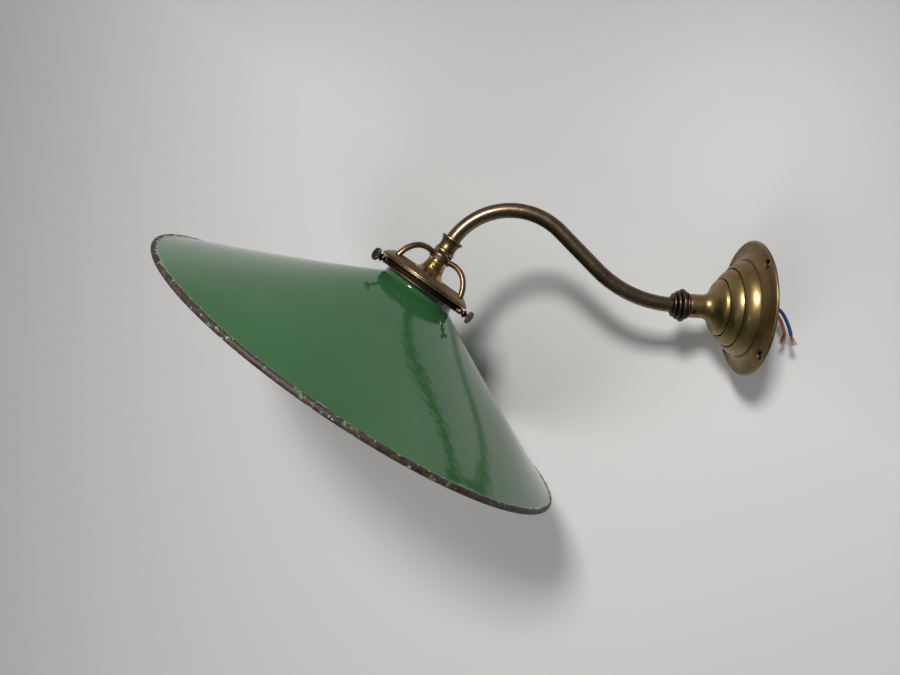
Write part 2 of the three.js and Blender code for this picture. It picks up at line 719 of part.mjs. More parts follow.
function contacts(group) {
  [1, -1].forEach((side, index) => {
    const number = index + 1;
    const shift = side * CONTACT_SPACING;
    const plunger = turned(
      [
        at(0, -plungerFoot),
        at(PLUNGER_RADIUS - 0.6, -plungerFoot),
        at(PLUNGER_RADIUS, 0.7 - plungerFoot),
        at(PLUNGER_RADIUS, -plungerTop),
        at(0, -plungerTop),
      ],
      16
    );
    addPiece(group, `contact_plunger_${number}`, plunger.translate(shift, 0, 0), brightBrass);
    addPiece(group, `contact_spring_${number}`, contactSpring().translate(shift, 0, 0), steel);
    const clampHole = bar(CLAMP_RADIUS + FIT, 0.2, CLAMP_LENGTH, 12);
    const clamp = bar(CLAMP_RADIUS, 0.2 + FIT, 0.2 + FIT + CLAMP_LENGTH, 12);
    const clampDrop = postTop + POST_STANDS_OUT / 2 - 0.1;
    for (const piece of [clampHole, clamp]) {
      piece.rotateZ((-side * Math.PI) / 2);
      piece.translate(shift, -clampDrop, 0);
    }
    const post = bar(POST_RADIUS, -postFoot, -postTop, 16).translate(shift, 0, 0);
    addPiece(group, `terminal_post_${number}`, cut(post, [clampHole]), brightBrass);
    addPiece(group, `terminal_screw_${number}`, clamp, steel);
  });
}

// ---- Wires -----------------------------------------------------------------------------------------------

// Where the head's own axis lies in the object: a point that far down it, off to one side.
function headPoint(drop, side) {
  const down = new THREE.Vector3(0, -Math.sin(HEAD_TILT), -Math.cos(HEAD_TILT));
  return neckEnd.clone().addScaledVector(down, drop).setX(side);
}

// One core from the tube's tail to its terminal, beside the tube's centreline.
function armWire(side) {
  const offset = side * (WIRE_RADIUS + FIT / 2);
  const { points } = walk(TUBE_TAIL + FIT, [
    { length: OUTREACH - TUBE_TAIL - FIT },
    ...neckRuns.slice(1),
    { length: capTop },
  ]);
  for (const point of points) point.setX(offset);
  points.push(headPoint(domeTop, offset), headPoint(postTop - 1, side * CONTACT_SPACING));
  points.push(headPoint(postTop - FIT, side * CONTACT_SPACING));
  const line = new THREE.CatmullRomCurve3(points);
  return swept(roundShape(WIRE_RADIUS, 6), line, Math.ceil(line.getLength() / 3.5));
}

// The tails behind the rose: out past the wall plane, then drooping. Points are chosen by hand.
const TAIL_ROUTES = {
  blue: [
    [1.3, -15.2, 0], [1.0, -10, 0.1], [-0.5, -3, 0.5], [-2.5, 4, 1.2], [-4.6, 12, 2.2],
    [-6.4, 18.5, 2.5], [-7.4, 23, 1.2], [-7.9, 27, -2.4], [-8.1, 30, -7.2], [-8.1, 32.2, -12],
    [-8, 33.6, -16.4],
  ],
  brown: [
    [-1.3, -15.2, 0], [-1.8, -10, -0.3], [-3.6, -3, -0.7], [-5.6, 4, -0.8], [-7.6, 12, -0.7],
    [-9.2, 18.5, -1], [-10.2, 23.2, -2.6], [-10.7, 26.6, -6], [-10.9, 28.9, -10.6],
    [-10.8, 30.4, -15.4],
  ],
};
const STRAND_LEANS = { blue: [0.5, 0.1, -1], brown: [-0.3, 0, -1] };

function wireTail(route) {
  const line = new THREE.CatmullRomCurve3(route.map((point) => new THREE.Vector3(...point)));
  return swept(roundShape(WIRE_RADIUS, 8), line, 20);
}

// The bared end: a splayed bundle, narrow where it leaves the insulation.
function strands(route, lean) {
  const outline = [
    at(0, 0), at(0.8, 0), at(0.9, 2.5), at(1.5, 0.75 * STRAND_LENGTH), at(0.7, STRAND_LENGTH),
    at(0, STRAND_LENGTH),
  ];
  const direction = new THREE.Vector3(...lean).normalize();
  const turn = new THREE.Quaternion().setFromUnitVectors(new THREE.Vector3(0, 1, 0), direction);
  const last = new THREE.Vector3(...route[route.length - 1]).addScaledVector(direction, 2 * FIT);
  return turned(outline, 10).applyQuaternion(turn).translate(last.x, last.y, last.z);
}

function wires(group) {
  const cores = [
    { colour: "blue", side: 1, material: blueCore },
    { colour: "brown", side: -1, material: brownCore },
  ];
  for (const { colour, side, material } of cores) {
    const route = TAIL_ROUTES[colour];
    addPiece(group, `arm_wire_${colour}`, armWire(side), material);
    addPiece(group, `tail_wire_${colour}`, wireTail(route), material);
    addPiece(group, `copper_strands_${colour}`, strands(route, STRAND_LEANS[colour]), copper);
  }
}

// ---- Assembly ----------------------------------------------------------------------------------------------

const light = new THREE.Group();

const wallEnd = new THREE.Group();
wallEnd.rotation.z = Math.PI;
light.add(wallEnd);
rose(wallEnd);
roseFastenings(wallEnd);
armCollar(wallEnd);

swanNeck(light);

const head = new THREE.Group();
head.position.copy(neckEnd);
head.rotation.x = Math.PI / 2 - HEAD_TILT;
light.add(head);
coupling(head);
lockRing(head);
nipple(head);
gallery(head);
thumbScrews(head);
shade(head);
holderCap(head);
holderBarrel(head);
holderRing(head);
holderInsert(head);
contacts(head);

wires(light);

export default light;
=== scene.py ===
# %% [markdown]
# # A swan neck wall light
#
# An antique brass wall light: a stepped rose that screws to the wall, a bent tube that turns in the
# rose's neck, a three armed gallery, a bayonet lampholder, and a wide conical shade of enamelled
# steel, green outside and white inside. The sizes here are the real ones, in millimetres, and every
# mesh is put in its place in metres. The wall is the plane y = 0, the light stands out along -Y,
# and Z is up.

# %% Load the frame
import math

import bmesh
import bpy
import numpy as np
from mathutils import Matrix, Vector


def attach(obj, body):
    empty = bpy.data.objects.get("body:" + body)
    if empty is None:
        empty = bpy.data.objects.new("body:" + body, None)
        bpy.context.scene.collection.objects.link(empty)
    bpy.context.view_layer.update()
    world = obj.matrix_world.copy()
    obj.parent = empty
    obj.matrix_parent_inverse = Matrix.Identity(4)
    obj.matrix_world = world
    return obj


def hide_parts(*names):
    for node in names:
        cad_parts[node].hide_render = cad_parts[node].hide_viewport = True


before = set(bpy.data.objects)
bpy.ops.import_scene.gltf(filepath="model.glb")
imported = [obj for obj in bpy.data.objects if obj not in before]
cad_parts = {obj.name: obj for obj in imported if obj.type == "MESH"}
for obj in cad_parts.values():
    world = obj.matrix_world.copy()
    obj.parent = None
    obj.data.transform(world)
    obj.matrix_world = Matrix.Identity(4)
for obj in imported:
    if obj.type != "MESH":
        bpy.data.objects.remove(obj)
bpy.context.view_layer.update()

# %% [markdown]
# ## The camera
#
# The light lies on its side and is looked at square to the plane of its tube, from about 0.43 m.
# So close, the near side of the shade is much bigger than the far side, and only a wide lens at
# the right distance gives that. Three small turns (yaw, pitch, roll) finish it.

# %% Camera
CAMERA_PLACE = (0.4343, -0.1816, 0.0005)
YAW, PITCH, ROLL = 1.95, -4.04, 3.10
SENSOR_WIDTH, FOCAL_LENGTH = 36, 25.73

turn = (
    Matrix.Rotation(math.radians(YAW), 3, "Z")
    @ Matrix.Rotation(math.radians(PITCH), 3, "Y")
    @ Matrix.Rotation(math.radians(ROLL), 3, "X")
)
square_on = Matrix(((0, 0, 1), (1, 0, 0), (0, 1, 0)))
camera_data = bpy.data.cameras.new("camera")
camera_data.sensor_width = SENSOR_WIDTH
camera_data.lens = FOCAL_LENGTH
camera_data.clip_start = 0.01
camera = bpy.data.objects.new("camera", camera_data)
camera.matrix_world = Matrix.Translation(CAMERA_PLACE) @ (turn @ square_on).to_4x4()
bpy.context.scene.collection.objects.link(camera)
bpy.context.scene.camera = camera
print("camera looks along", [round(x, 3) for x in -(turn @ square_on).col[2]])

# %% [markdown]
# ## Surfaces from arrays
#
# Nearly every piece is a profile turned about an axis or a section carried along a line. Both are
# a grid of points: rows along the profile or the line, columns round it. One function joins a grid
# into a closed mesh, so the pieces themselves are only formulas.

# %% Grids to meshes
MM = 0.001
MERGE_DISTANCE = 1e-7


def link(name, mesh):
    """Puts a mesh in the scene as an object at the origin."""
    piece = bpy.data.objects.new(name, mesh)
    bpy.context.scene.collection.objects.link(piece)
    return piece


def grid_faces(rows, columns, closed):
    """Corner numbers of the quads of a grid that is closed round its columns, and also from its
    last row to its first if closed is true: corner (r, c) is number r * columns + c."""
    r = np.arange(rows if closed else rows - 1)[:, None]
    c = np.arange(columns)[None, :]
    after_r, after_c = (r + 1) % rows, (c + 1) % columns
    corners = (
        r * columns + c,
        r * columns + after_c,
        after_r * columns + after_c,
        after_r * columns + c,
    )
    return np.stack(np.broadcast_arrays(*corners), axis=-1).reshape(-1, 4)


def mesh_from_grids(name, grids, closed=True, sharp=35.0):
    """One mesh from grids of points in millimetres, each with the shape (rows, columns, 3). Points
    that meet at a pole are merged, and all faces are turned outwards."""
    points, faces, start = [], [], 0
    for grid in grids:
        rows, columns = grid.shape[:2]
        points.append(grid.reshape(-1, 3))
        faces.append(grid_faces(rows, columns, closed) + start)
        start += rows * columns
    mesh = bpy.data.meshes.new(name)
    mesh.from_pydata(np.concatenate(points) * MM, [], np.concatenate(faces).tolist())
    tidy_mesh(mesh, sharp)
    return mesh


def tidy_mesh(mesh, sharp):
    """Merges doubles, drops faces with no area, turns normals outwards and shades smoothly."""
    work = bmesh.new()
    work.from_mesh(mesh)
    bmesh.ops.remove_doubles(work, verts=work.verts, dist=MERGE_DISTANCE)
    bmesh.ops.dissolve_degenerate(work, edges=work.edges, dist=MERGE_DISTANCE)
    bmesh.ops.recalc_face_normals(work, faces=work.faces)
    work.to_mesh(mesh)
    work.free()
    shade_smoothly(mesh, sharp)


def shade_smoothly(mesh, sharp):
    """Smooth shading that stays hard at edges of more than the given angle in degrees."""
    mesh.shade_smooth()
    mesh.set_sharp_from_angle(angle=math.radians(sharp))


def piece_from_grids(name, grids, closed=True, sharp=35.0):
    """An object in the scene whose mesh is made from grids."""
    return link(name, mesh_from_grids(name, grids, closed, sharp))


# %% [markdown]
# ## Profiles
#
# A turned brass part has no dead sharp edges: polishing rounds them. So each profile has its
# corners softened, and its long runs are divided, which also gives the finish points to hold.

# %% Softened profiles
def arc(x, y, radius, start, end, count=10):
    """Points of an arc about (x, y): centre + radius * (cos, sin) of angles in degrees."""
    angle = np.radians(np.linspace(start, end, count + 1))
    return np.column_stack((x + radius * np.cos(angle), y + radius * np.sin(angle)))


def bezier(points, count=16):
    """A Bezier curve of any degree: binomial weights of t and 1 - t on the control points."""
    control = np.array(points, float)
    degree = len(control) - 1
    t = np.linspace(0, 1, count + 1)[:, None]
    k = np.arange(degree + 1)[None, :]
    choose = np.array([math.comb(degree, i) for i in range(degree + 1)])[None, :]
    return (choose * t**k * (1 - t) ** (degree - k)) @ control


def softened(outline, radius, closed=True, steps=4):
    """Rounds each corner of more than 20 degrees with a quadratic curve that starts and ends at
    the given distance from it, or at 45 % of a shorter side."""
    points = np.array(outline, float)
    back = np.roll(points, 1, axis=0) - points
    ahead = np.roll(points, -1, axis=0) - points
    long_back, long_ahead = (np.linalg.norm(v, axis=1, keepdims=True) for v in (back, ahead))
    cosine = np.sum(back * ahead, axis=1) / (long_back * long_ahead + 1e-12)[:, 0]
    sharp = cosine > -math.cos(math.radians(20))
    if not closed:
        sharp[[0, -1]] = False
    first = points + back / (long_back + 1e-12) * np.minimum(radius, 0.45 * long_back)
    last = points + ahead / (long_ahead + 1e-12) * np.minimum(radius, 0.45 * long_ahead)
    t = np.linspace(0, 1, steps + 1)[None, :, None]
    curve = (1 - t) ** 2 * first[:, None] + 2 * t * (1 - t) * points[:, None] + t**2 * last[:, None]
    keep = np.ones(curve.shape[:2], bool)
    keep[~sharp, 1:] = False
    curve[~sharp, 0] = points[~sharp]
    return curve[keep]


def divided(points, longest, closed=True):
    """Adds evenly spaced points so that no stretch is longer than the given length."""
    points = np.array(points, float)
    ahead = np.roll(points, -1, axis=0) if closed else points[1:]
    here = points if closed else points[:-1]
    length = np.linalg.norm(ahead - here, axis=1)
    count = np.maximum(1, np.ceil(length / longest).astype(int))
    which = np.repeat(np.arange(len(here)), count)
    share = (np.arange(len(which)) - np.repeat(np.cumsum(count) - count, count)) / count[which]
    result = here[which] + (ahead - here)[which] * share[:, None]
    return result if closed else np.vstack((result, points[-1:]))


def edge_wear(profile, spread=0.7, closed=True):
    """How convex (above 0) or hollow (below 0) a profile is near each of its points: the sum of
    all its turns in radians, each weighted by exp(-distance^2 / (2 * spread^2)) along it."""
    ahead = np.roll(profile, -1, axis=0) - profile
    back = profile - np.roll(profile, 1, axis=0)
    bend = np.arctan2(
        back[:, 0] * ahead[:, 1] - back[:, 1] * ahead[:, 0], np.sum(back * ahead, axis=1)
    )
    area = np.sum(profile[:, 0] * np.roll(profile[:, 1], -1))
    area -= np.sum(np.roll(profile[:, 0], -1) * profile[:, 1])
    if not closed:
        bend[[0, -1]] = 0
    run = np.concatenate(([0], np.cumsum(np.linalg.norm(ahead[:-1], axis=1))))
    gap = np.abs(run[:, None] - run[None, :])
    weight = np.exp(-(gap**2) / (2 * spread**2))
    return np.sign(area) * weight @ bend


# %% [markdown]
# ## Two axes
#
# Everything on the wall side turns about the rose's axis, and everything at the other end about
# the shade's axis, which leans 31.8 degrees. A piece is drawn upright, as (across, height, out),
# and one of two axis frames carries it to its place.

# %% The two axis frames and the tube's line
HEAD_TILT = math.radians(31.8)
OUTREACH, RISE_BEND, RISE_LENGTH, CROOK_BEND = 48.0, 78.0, 35.5, 47.0
RISE_ANGLE = math.radians(42.5)
TUBE_TAIL, TUBE_RADIUS, TUBE_WALL = 15.5, 5.0, 1.2
FIT = 0.3
CROOK_TURN = RISE_ANGLE + math.pi / 2 - HEAD_TILT


def neck_line(spacing=0.8, extra=0.0):
    """The tube's centreline: two straights and two bends in the plane x = 0. The heading turns
    evenly along a bend, and the points are the running sum of small steps along the heading."""
    runs = (
        (OUTREACH - TUBE_TAIL, 0.0),
        (RISE_BEND * RISE_ANGLE, RISE_ANGLE),
        (RISE_LENGTH, 0.0),
        (CROOK_BEND * CROOK_TURN, -CROOK_TURN),
        (extra, 0.0),
    )
    steps, headings, heading = [], [], 0.0
    for length, change in runs:
        count = max(1, round(length / spacing))
        steps.append(np.full(count, length / count))
        headings.append(heading + change * (np.arange(count) + 0.5) / count)
        heading += change
    step, heading = np.concatenate(steps), np.concatenate(headings)
    moves = np.column_stack((0 * step, -step * np.cos(heading), step * np.sin(heading)))
    return np.vstack(([0, -TUBE_TAIL, 0], [0, -TUBE_TAIL, 0] + np.cumsum(moves, axis=0)))


NECK_END = neck_line()[-1]
UP = np.array([0.0, math.sin(HEAD_TILT), math.cos(HEAD_TILT)])
OUT = np.array([0.0, -math.cos(HEAD_TILT), math.sin(HEAD_TILT)])
WALL_FRAME = (np.zeros(3), np.array([[-1.0, 0, 0], [0, -1.0, 0], [0, 0, 1.0]]))
HEAD_FRAME = (NECK_END, np.array([[1.0, 0, 0], UP, OUT]))
print("the tube ends at", NECK_END.round(2), "mm")


def placed(points, axis):
    """Carries (across, height, out) to the row frame: origin + the three parts along the axes."""
    origin, directions = axis
    return origin + points @ directions


def full_turn(columns):
    """Evenly spaced angles all round."""
    return 2 * math.pi * np.arange(columns) / columns


def turned(radius, height):
    """Radii with a row for each height and a column for each angle, as points about the height
    axis: (r cos a, height, r sin a)."""
    angle = full_turn(radius.shape[1])
    return np.stack((radius * np.cos(angle), height + 0 * radius, radius * np.sin(angle)), axis=-1)


def lathe(profile, columns=128):
    """A profile of (radius, height) turned about the height axis."""
    profile = np.array(profile, float)
    return turned(np.repeat(profile[:, :1], columns, axis=1), profile[:, 1:])


def mark(mesh, name, values):
    """Stores one number for each point of a mesh, for a material to read."""
    layer = mesh.attributes.get(name) or mesh.attributes.new(name, "FLOAT", "POINT")
    layer.data.foreach_set("value", np.asarray(values, np.float32))


def mesh_points(mesh):
    """A mesh's points in millimetres."""
    flat = np.empty(3 * len(mesh.vertices), np.float32)
    mesh.vertices.foreach_get("co", flat)
    return flat.reshape(-1, 3) / MM


def nearest(mesh, axis, profile):
    """For each point of a mesh, the number of the profile point nearest to its (radius, height),
    and how far away that is."""
    origin, directions = axis
    upright = (mesh_points(mesh) - origin) @ directions.T
    flat = np.column_stack((np.hypot(upright[:, 0], upright[:, 2]), upright[:, 1]))
    found, far = np.empty(len(flat), int), np.empty(len(flat))
    for start in range(0, len(flat), 20000):
        part = flat[start : start + 20000]
        gap = np.hypot(part[:, None, 0] - profile[None, :, 0], part[:, None, 1] - profile[None, :, 1])
        found[start : start + 20000] = gap.argmin(axis=1)
        far[start : start + 20000] = gap.min(axis=1)
    return found, far


def mark_wear_and_shade(piece, axis, profile, wear_and_shade, elsewhere=0.0, reach=math.inf):
    """Gives each point of a piece the mark of the nearest profile point, for rubbed edges, grimy
    hollows and painted shade, or the elsewhere value where the profile is further away than reach, as
    it is on the wall of a hole."""
    index, far = nearest(piece.data, axis, profile)
    mark(piece.data, "wear_and_shade", np.where(far < reach, wear_and_shade[index], elsewhere))


def turned_piece(name, outline, axis, soft=0.25, longest=1.0, columns=128, closed=True):
    """A turned piece with its wear marked on its points."""
    profile = divided(softened(outline, soft, closed), longest, closed)
    piece = piece_from_grids(name, [placed(lathe(profile, columns), axis)], closed)
    mark_wear_and_shade(piece, axis, profile, edge_wear(profile, closed=closed))
    return piece, profile


# %% [markdown]
# ## Sweeps and cuts
#
# Wires, the tube and the gallery's arms are a section carried along a line. Holes are cut with
# solid tools, as they are in the metal, and the result is applied so that no modifier is left.

# %% Sweeps and cuts
def swept(line, sections, across=(1.0, 0.0, 0.0)):
    """A section carried along a line: point + u * side + v * normal. Sections has the shape
    (points of the line, columns, 2), and side is square to the line and to a fixed direction."""
    line = np.array(line, float)
    tangent = np.gradient(line, axis=0)
    tangent /= np.linalg.norm(tangent, axis=1, keepdims=True)
    side = np.cross(tangent, np.array(across))
    side /= np.linalg.norm(side, axis=1, keepdims=True)
    normal = np.cross(side, tangent)
    u, v = sections[..., :1], sections[..., 1:]
    return line[:, None] + u * side[:, None] + v * normal[:, None]


def rings(radii, columns):
    """Round sections, one for each radius: r * (cos a, sin a)."""
    angle = full_turn(columns)
    circle = np.column_stack((np.cos(angle), np.sin(angle)))
    return np.array(radii, float)[:, None, None] * circle


def with_ends(grid):
    """Closes a sweep's ends: one more row at each, with all its points in the section's middle."""
    ends = grid[[0, -1]]
    middle = ends.mean(axis=1, keepdims=True) + 0 * ends
    return np.concatenate((middle[:1], grid, middle[1:]))


def capped(line, radius, columns, across=(1.0, 0.0, 0.0)):
    """A solid round rod along a line."""
    return with_ends(swept(line, rings([radius] * len(line), columns), across))


def cut(piece, tools, operation="DIFFERENCE", sharp=35.0):
    """Cuts, joins or meets a piece with closed tool meshes, and applies the result."""
    helpers = [link("tool", tool) for tool in tools]
    for helper in helpers:
        change = piece.modifiers.new("cut", "BOOLEAN")
        change.operation, change.object, change.solver = operation, helper, "MANIFOLD"
    bpy.context.view_layer.update()
    shaped = piece.evaluated_get(bpy.context.evaluated_depsgraph_get())
    mesh = bpy.data.meshes.new_from_object(shaped)
    piece.modifiers.clear()
    piece.data = mesh
    for helper in helpers:
        bpy.data.objects.remove(helper)
    shade_smoothly(mesh, sharp)


def rod(start, end, radius, columns=48):
    """A plain round tool between two points."""
    line = np.linspace(start, end, 4)
    goes_across = abs(line[1, 0] - line[0, 0]) > 1e-9
    across = (0.0, 0.0, 1.0) if goes_across else (1.0, 0.0, 0.0)
    return mesh_from_grids("tool", [capped(line, radius, columns, across)], closed=False)


def block(low, high, axis):
    """A box tool between two opposite corners, each (across, height, out) in a row frame."""
    (_, bottom, near), (_, top, far) = low, high
    grid = np.array([[(x, bottom, near), (x, bottom, far), (x, top, far), (x, top, near)]
                     for x in (low[0], high[0])])
    return mesh_from_grids("tool", [placed(with_ends(grid), axis)], closed=False)


# %% [markdown]
# ## Nodes and colours
#
# A material is a small graph. One function adds a node, sets it and links it. Colours are written
# as the hex values a screen shows and turned to the linear values that light adds up in.

# %% Node and colour helpers
def linear(code):
    """Hex colour to linear: each channel c becomes ((c + 0.055) / 1.055) ^ 2.4."""
    channels = np.array([int(code[i : i + 2], 16) / 255 for i in (1, 3, 5)])
    curved = ((channels + 0.055) / 1.055) ** 2.4
    return (*np.where(channels < 0.04045, channels / 12.92, curved), 1.0)


def add(tree, kind, sockets=None, **settings):
    """Adds a node, makes its settings, and fills or links its inputs."""
    node = tree.nodes.new("ShaderNode" + kind)
    for name, value in settings.items():
        setattr(node, name, value)
    for name, value in (sockets or {}).items():
        if isinstance(value, bpy.types.NodeSocket):
            tree.links.new(value, node.inputs[name])
        else:
            node.inputs[name].default_value = value
    return node


def new_material(name):
    """A material with an empty graph and its output node."""
    material = bpy.data.materials.new(name)
    material.use_nodes = True
    material.node_tree.nodes.clear()
    return material, material.node_tree, add(material.node_tree, "OutputMaterial")


def noise(tree, size_mm, detail=4.0, rough=0.55, stretch=None):
    """Noise on Object coordinates whose patches are about size_mm wide."""
    where = add(tree, "TexCoord").outputs["Object"]
    if stretch:
        where = add(tree, "Mapping", {"Vector": where, "Scale": stretch}).outputs["Vector"]
    sockets = {"Vector": where, "Scale": 1 / (size_mm * MM), "Detail": detail, "Roughness": rough}
    return add(tree, "TexNoise", sockets).outputs["Fac"]


def ramp(tree, value, low, high, start=0.0, end=1.0):
    """Stretches value from low..high to start..end, and clips it there."""
    sockets = {"Value": value, "From Min": low, "From Max": high, "To Min": start, "To Max": end}
    return add(tree, "MapRange", sockets).outputs["Result"]


def blend_colours(tree, share, first, second):
    """A mix of two colours, given as hex codes or sockets."""
    node = add(tree, "Mix", {"Factor": share}, data_type="RGBA")
    for socket, colour in ((node.inputs[6], first), (node.inputs[7], second)):
        if isinstance(colour, str):
            socket.default_value = linear(colour)
        else:
            tree.links.new(colour, socket)
    return node.outputs[2]


def maths(tree, operation, first, second):
    """One sum on two values."""
    return add(tree, "Math", {0: first, 1: second}, operation=operation, use_clamp=True).outputs[0]


def attribute(tree, name):
    """A number stored on the mesh's points."""
    return add(tree, "Attribute", attribute_name=name).outputs["Fac"]


# %% [markdown]
# ## Old brass
#
# Brass that has been handled for a century is not one colour. It is clean and yellow where hands
# and polish reach, brown to olive where it has tarnished, and nearly black in the grooves. One
# function makes the brasses from those colours. The mark stored on the points brightens the rubbed
# edges and darkens the hollows; on the gallery's band and on the walls of the rose's holes that
# darkening is painted shade, and the gallery's hub is darkened the same way. The tarnish clouds are
# 4 to 20 mm across and the specks about 1 mm, and the polishing scratches are drawn 0.5 mm wide,
# coarser than real ones, so that they show.

# %% Brass materials
def old_brass(name, clean, tarnish, bright, grime_and_shade, cloud_mm, cloudy, rough, edge=1.0, speck=0.62):
    """A brass from four colours: clouds of tarnish on clean metal, bright edges, dirty grooves and
    specks, and the same dark colour as painted shade where a mark below zero lies on a face in shade.
    Cloudy is how soft the clouds' edges are, edge is how bright the metal's edges get, and speck is
    the noise level above which specks lie."""
    material, tree, output = new_material(name)
    clouds = ramp(tree, noise(tree, cloud_mm, 5.0, 0.6), 0.5 - cloudy / 2, 0.5 + cloudy / 2)
    mottle = noise(tree, cloud_mm / 5, 4.0, 0.6)
    wear_and_shade = attribute(tree, "wear_and_shade")
    colour = blend_colours(tree, clouds, tarnish, clean)
    colour = blend_colours(tree, ramp(tree, mottle, 0.35, 0.75, 0.0, 0.5), colour, tarnish)
    edges = maths(tree, "MULTIPLY", ramp(tree, wear_and_shade, 0.35, 1.3), ramp(tree, mottle, 0.3, 0.6))
    colour = blend_colours(tree, maths(tree, "MULTIPLY", edges, edge), colour, bright)
    # A mark below zero darkens towards the dark colour: grimy in real hollows, painted shade on the
    # gallery's band and on the walls of the rose's holes, and darker on the gallery's hub.
    grooves = maths(tree, "MULTIPLY", ramp(tree, wear_and_shade, -0.12, -0.75), ramp(tree, mottle, 0.1, 0.4))
    specks = ramp(tree, noise(tree, 1.3, 3.0, 0.5), speck, speck + 0.06, 0.0, 0.85)
    dirt_and_shade = maths(tree, "MAXIMUM", grooves, specks)
    colour = blend_colours(tree, dirt_and_shade, colour, grime_and_shade)
    roughness = maths(tree, "ADD", ramp(tree, mottle, 0.3, 0.7, rough - 0.07, rough + 0.09),
                      maths(tree, "MULTIPLY", dirt_and_shade, 0.3))
    scratches = noise(tree, 0.5, 2.0, 0.6, stretch=(1.0, 1.0, 0.35))
    height = maths(tree, "SUBTRACT", scratches, maths(tree, "MULTIPLY", dirt_and_shade, 0.5))
    bump = add(tree, "Bump", {"Height": height, "Distance": 0.00006, "Strength": 0.35})
    shader = add(tree, "BsdfPrincipled", {
        "Base Color": colour, "Metallic": 1.0, "Roughness": roughness, "Normal": bump.outputs[0],
    })
    tree.links.new(shader.outputs[0], output.inputs[0])
    return material


rose_brass = old_brass("aged_brass", "#a89060", "#7b6342", "#c2ab7c", "#33231b",
                       cloud_mm=20.0, cloudy=0.5, rough=0.36, edge=0.3, speck=0.66)
tube_brass = old_brass("brown_patinated_brass", "#8b7764", "#645344", "#ab9375", "#2f2721",
                       cloud_mm=9.0, cloudy=0.5, rough=0.30, edge=0.6)
gallery_brass = old_brass("gallery_brass", "#957a59", "#6b5643", "#b0926c", "#251c17",
                          cloud_mm=7.0, cloudy=0.5, rough=0.34, edge=0.7)
coupling_brass = old_brass("coupling_brass", "#8a7252", "#5f4b38", "#b89c70", "#2a1f18",
                           cloud_mm=5.0, cloudy=0.6, rough=0.32, edge=0.5)
bronzed_brass = old_brass("bronzed_brass", "#54443b", "#362b27", "#7b6757", "#171311",
                          cloud_mm=4.0, cloudy=0.5, rough=0.36, edge=0.7)
polished_brass = old_brass("polished_brass", "#bd9f61", "#866d43", "#ecd398", "#40321e",
                           cloud_mm=8.0, cloudy=0.6, rough=0.2, edge=0.6, speck=0.68)
print("brasses:", [m.name for m in bpy.data.materials if "brass" in m.name])

# %% [markdown]
# ## The other finishes
#
# Glazed porcelain, plain steel, the two kinds of PVC on the cores, and bare copper. Each is a
# typical value for its stuff with a little unevenness at the scale the real surface has.

# %% Porcelain, steel, insulation and copper
def simple(name, colour, second, size_mm, rough, metallic=0.0, bump_mm=0.02, ior=None):
    """A finish with two near colours in soft patches, an uneven gloss and a slight relief."""
    material, tree, output = new_material(name)
    patches = noise(tree, size_mm, 4.0, 0.55)
    bump = add(tree, "Bump", {"Height": patches, "Distance": bump_mm * MM, "Strength": 0.5})
    sockets = {
        "Base Color": blend_colours(tree, ramp(tree, patches, 0.3, 0.7), colour, second),
        "Roughness": ramp(tree, patches, 0.3, 0.7, rough - 0.05, rough + 0.05),
        "Metallic": metallic,
        "Normal": bump.outputs[0],
    }
    if ior:
        sockets["IOR"] = ior
    tree.links.new(add(tree, "BsdfPrincipled", sockets).outputs[0], output.inputs[0])
    return material


porcelain = simple("glazed_porcelain", "#e6e1d4", "#d6cfbf", 6.0, 0.18, ior=1.5)
steel = simple("plain_steel", "#9a9b9c", "#7f8182", 2.0, 0.32, metallic=1.0)
blue_core = simple("blue_pvc_insulation", "#1b3767", "#172e57", 3.0, 0.42, ior=1.53)
brown_core = simple("brown_pvc_insulation", "#8a5136", "#75432c", 3.0, 0.42, ior=1.53)
copper = simple("bare_copper", "#d29078", "#b87258", 1.0, 0.32, metallic=1.0)

# %% [markdown]
# ## The cores that leave the wall side
#
# Two insulated cores come out of the tube inside the rose, run out behind it and droop, and their
# bared ends are frayed. A core is 2.3 mm across its insulation. The one line through its route
# points is a Catmull-Rom curve, which passes through every point. The blue core is about 60 mm long
# to where its insulation ends, and the brown one is a little shorter.

# %% Wire routes, in millimetres
TAIL_ROUTES = {
    "blue": [
        [1.3, -15.2, 0], [1.0, -10, 0.1], [-0.5, -3, 0.5], [-2.5, 4, 1.2], [-4.6, 12, 2.2],
        [-6.4, 18.5, 2.5], [-7.4, 23, 1.2], [-7.9, 27, -2.4], [-8.1, 30, -7.2], [-8.1, 32.2, -12],
        [-8, 33.6, -16.4],
    ],
    "brown": [
        [-1.3, -15.2, 0], [-1.8, -10, -0.3], [-3.6, -3, -0.7], [-5.6, 4, -0.8], [-7.6, 12, -0.7],
        [-9.2, 18.5, -1], [-10.2, 23.2, -2.6], [-10.7, 26.6, -6], [-10.9, 28.9, -10.6],
        [-10.8, 30.4, -15.4],
    ],
}
WIRE_RADIUS = 1.15
STRAND_LEANS = {"blue": [0.5, 0.1, -1.0], "brown": [-0.3, 0.0, -1.0]}
STRAND_LENGTH, STRAND_RADIUS, STRAND_TUCK = 9.0, 0.13, 0.8
CORE_FINISH = {"blue": blue_core, "brown": brown_core}


def smooth_line(route, per_span=10):
    """Catmull-Rom: between two points the curve is the cubic whose ends have half the chord of
    the neighbours as their slopes."""
    p = np.array(route, float)
    p = np.vstack((2 * p[0] - p[1], p, 2 * p[-1] - p[-2]))
    t = np.linspace(0, 1, per_span, endpoint=False)[None, :, None]
    a, b, c, d = (p[i : len(p) - 3 + i, None] for i in range(4))
    curve = b + 0.5 * t * (c - a) + t**2 * (a - 2.5 * b + 2 * c - 0.5 * d)
    curve = curve + t**3 * (1.5 * (b - c) + 0.5 * (d - a))
    return np.vstack((curve.reshape(-1, 3), p[-2:-1]))


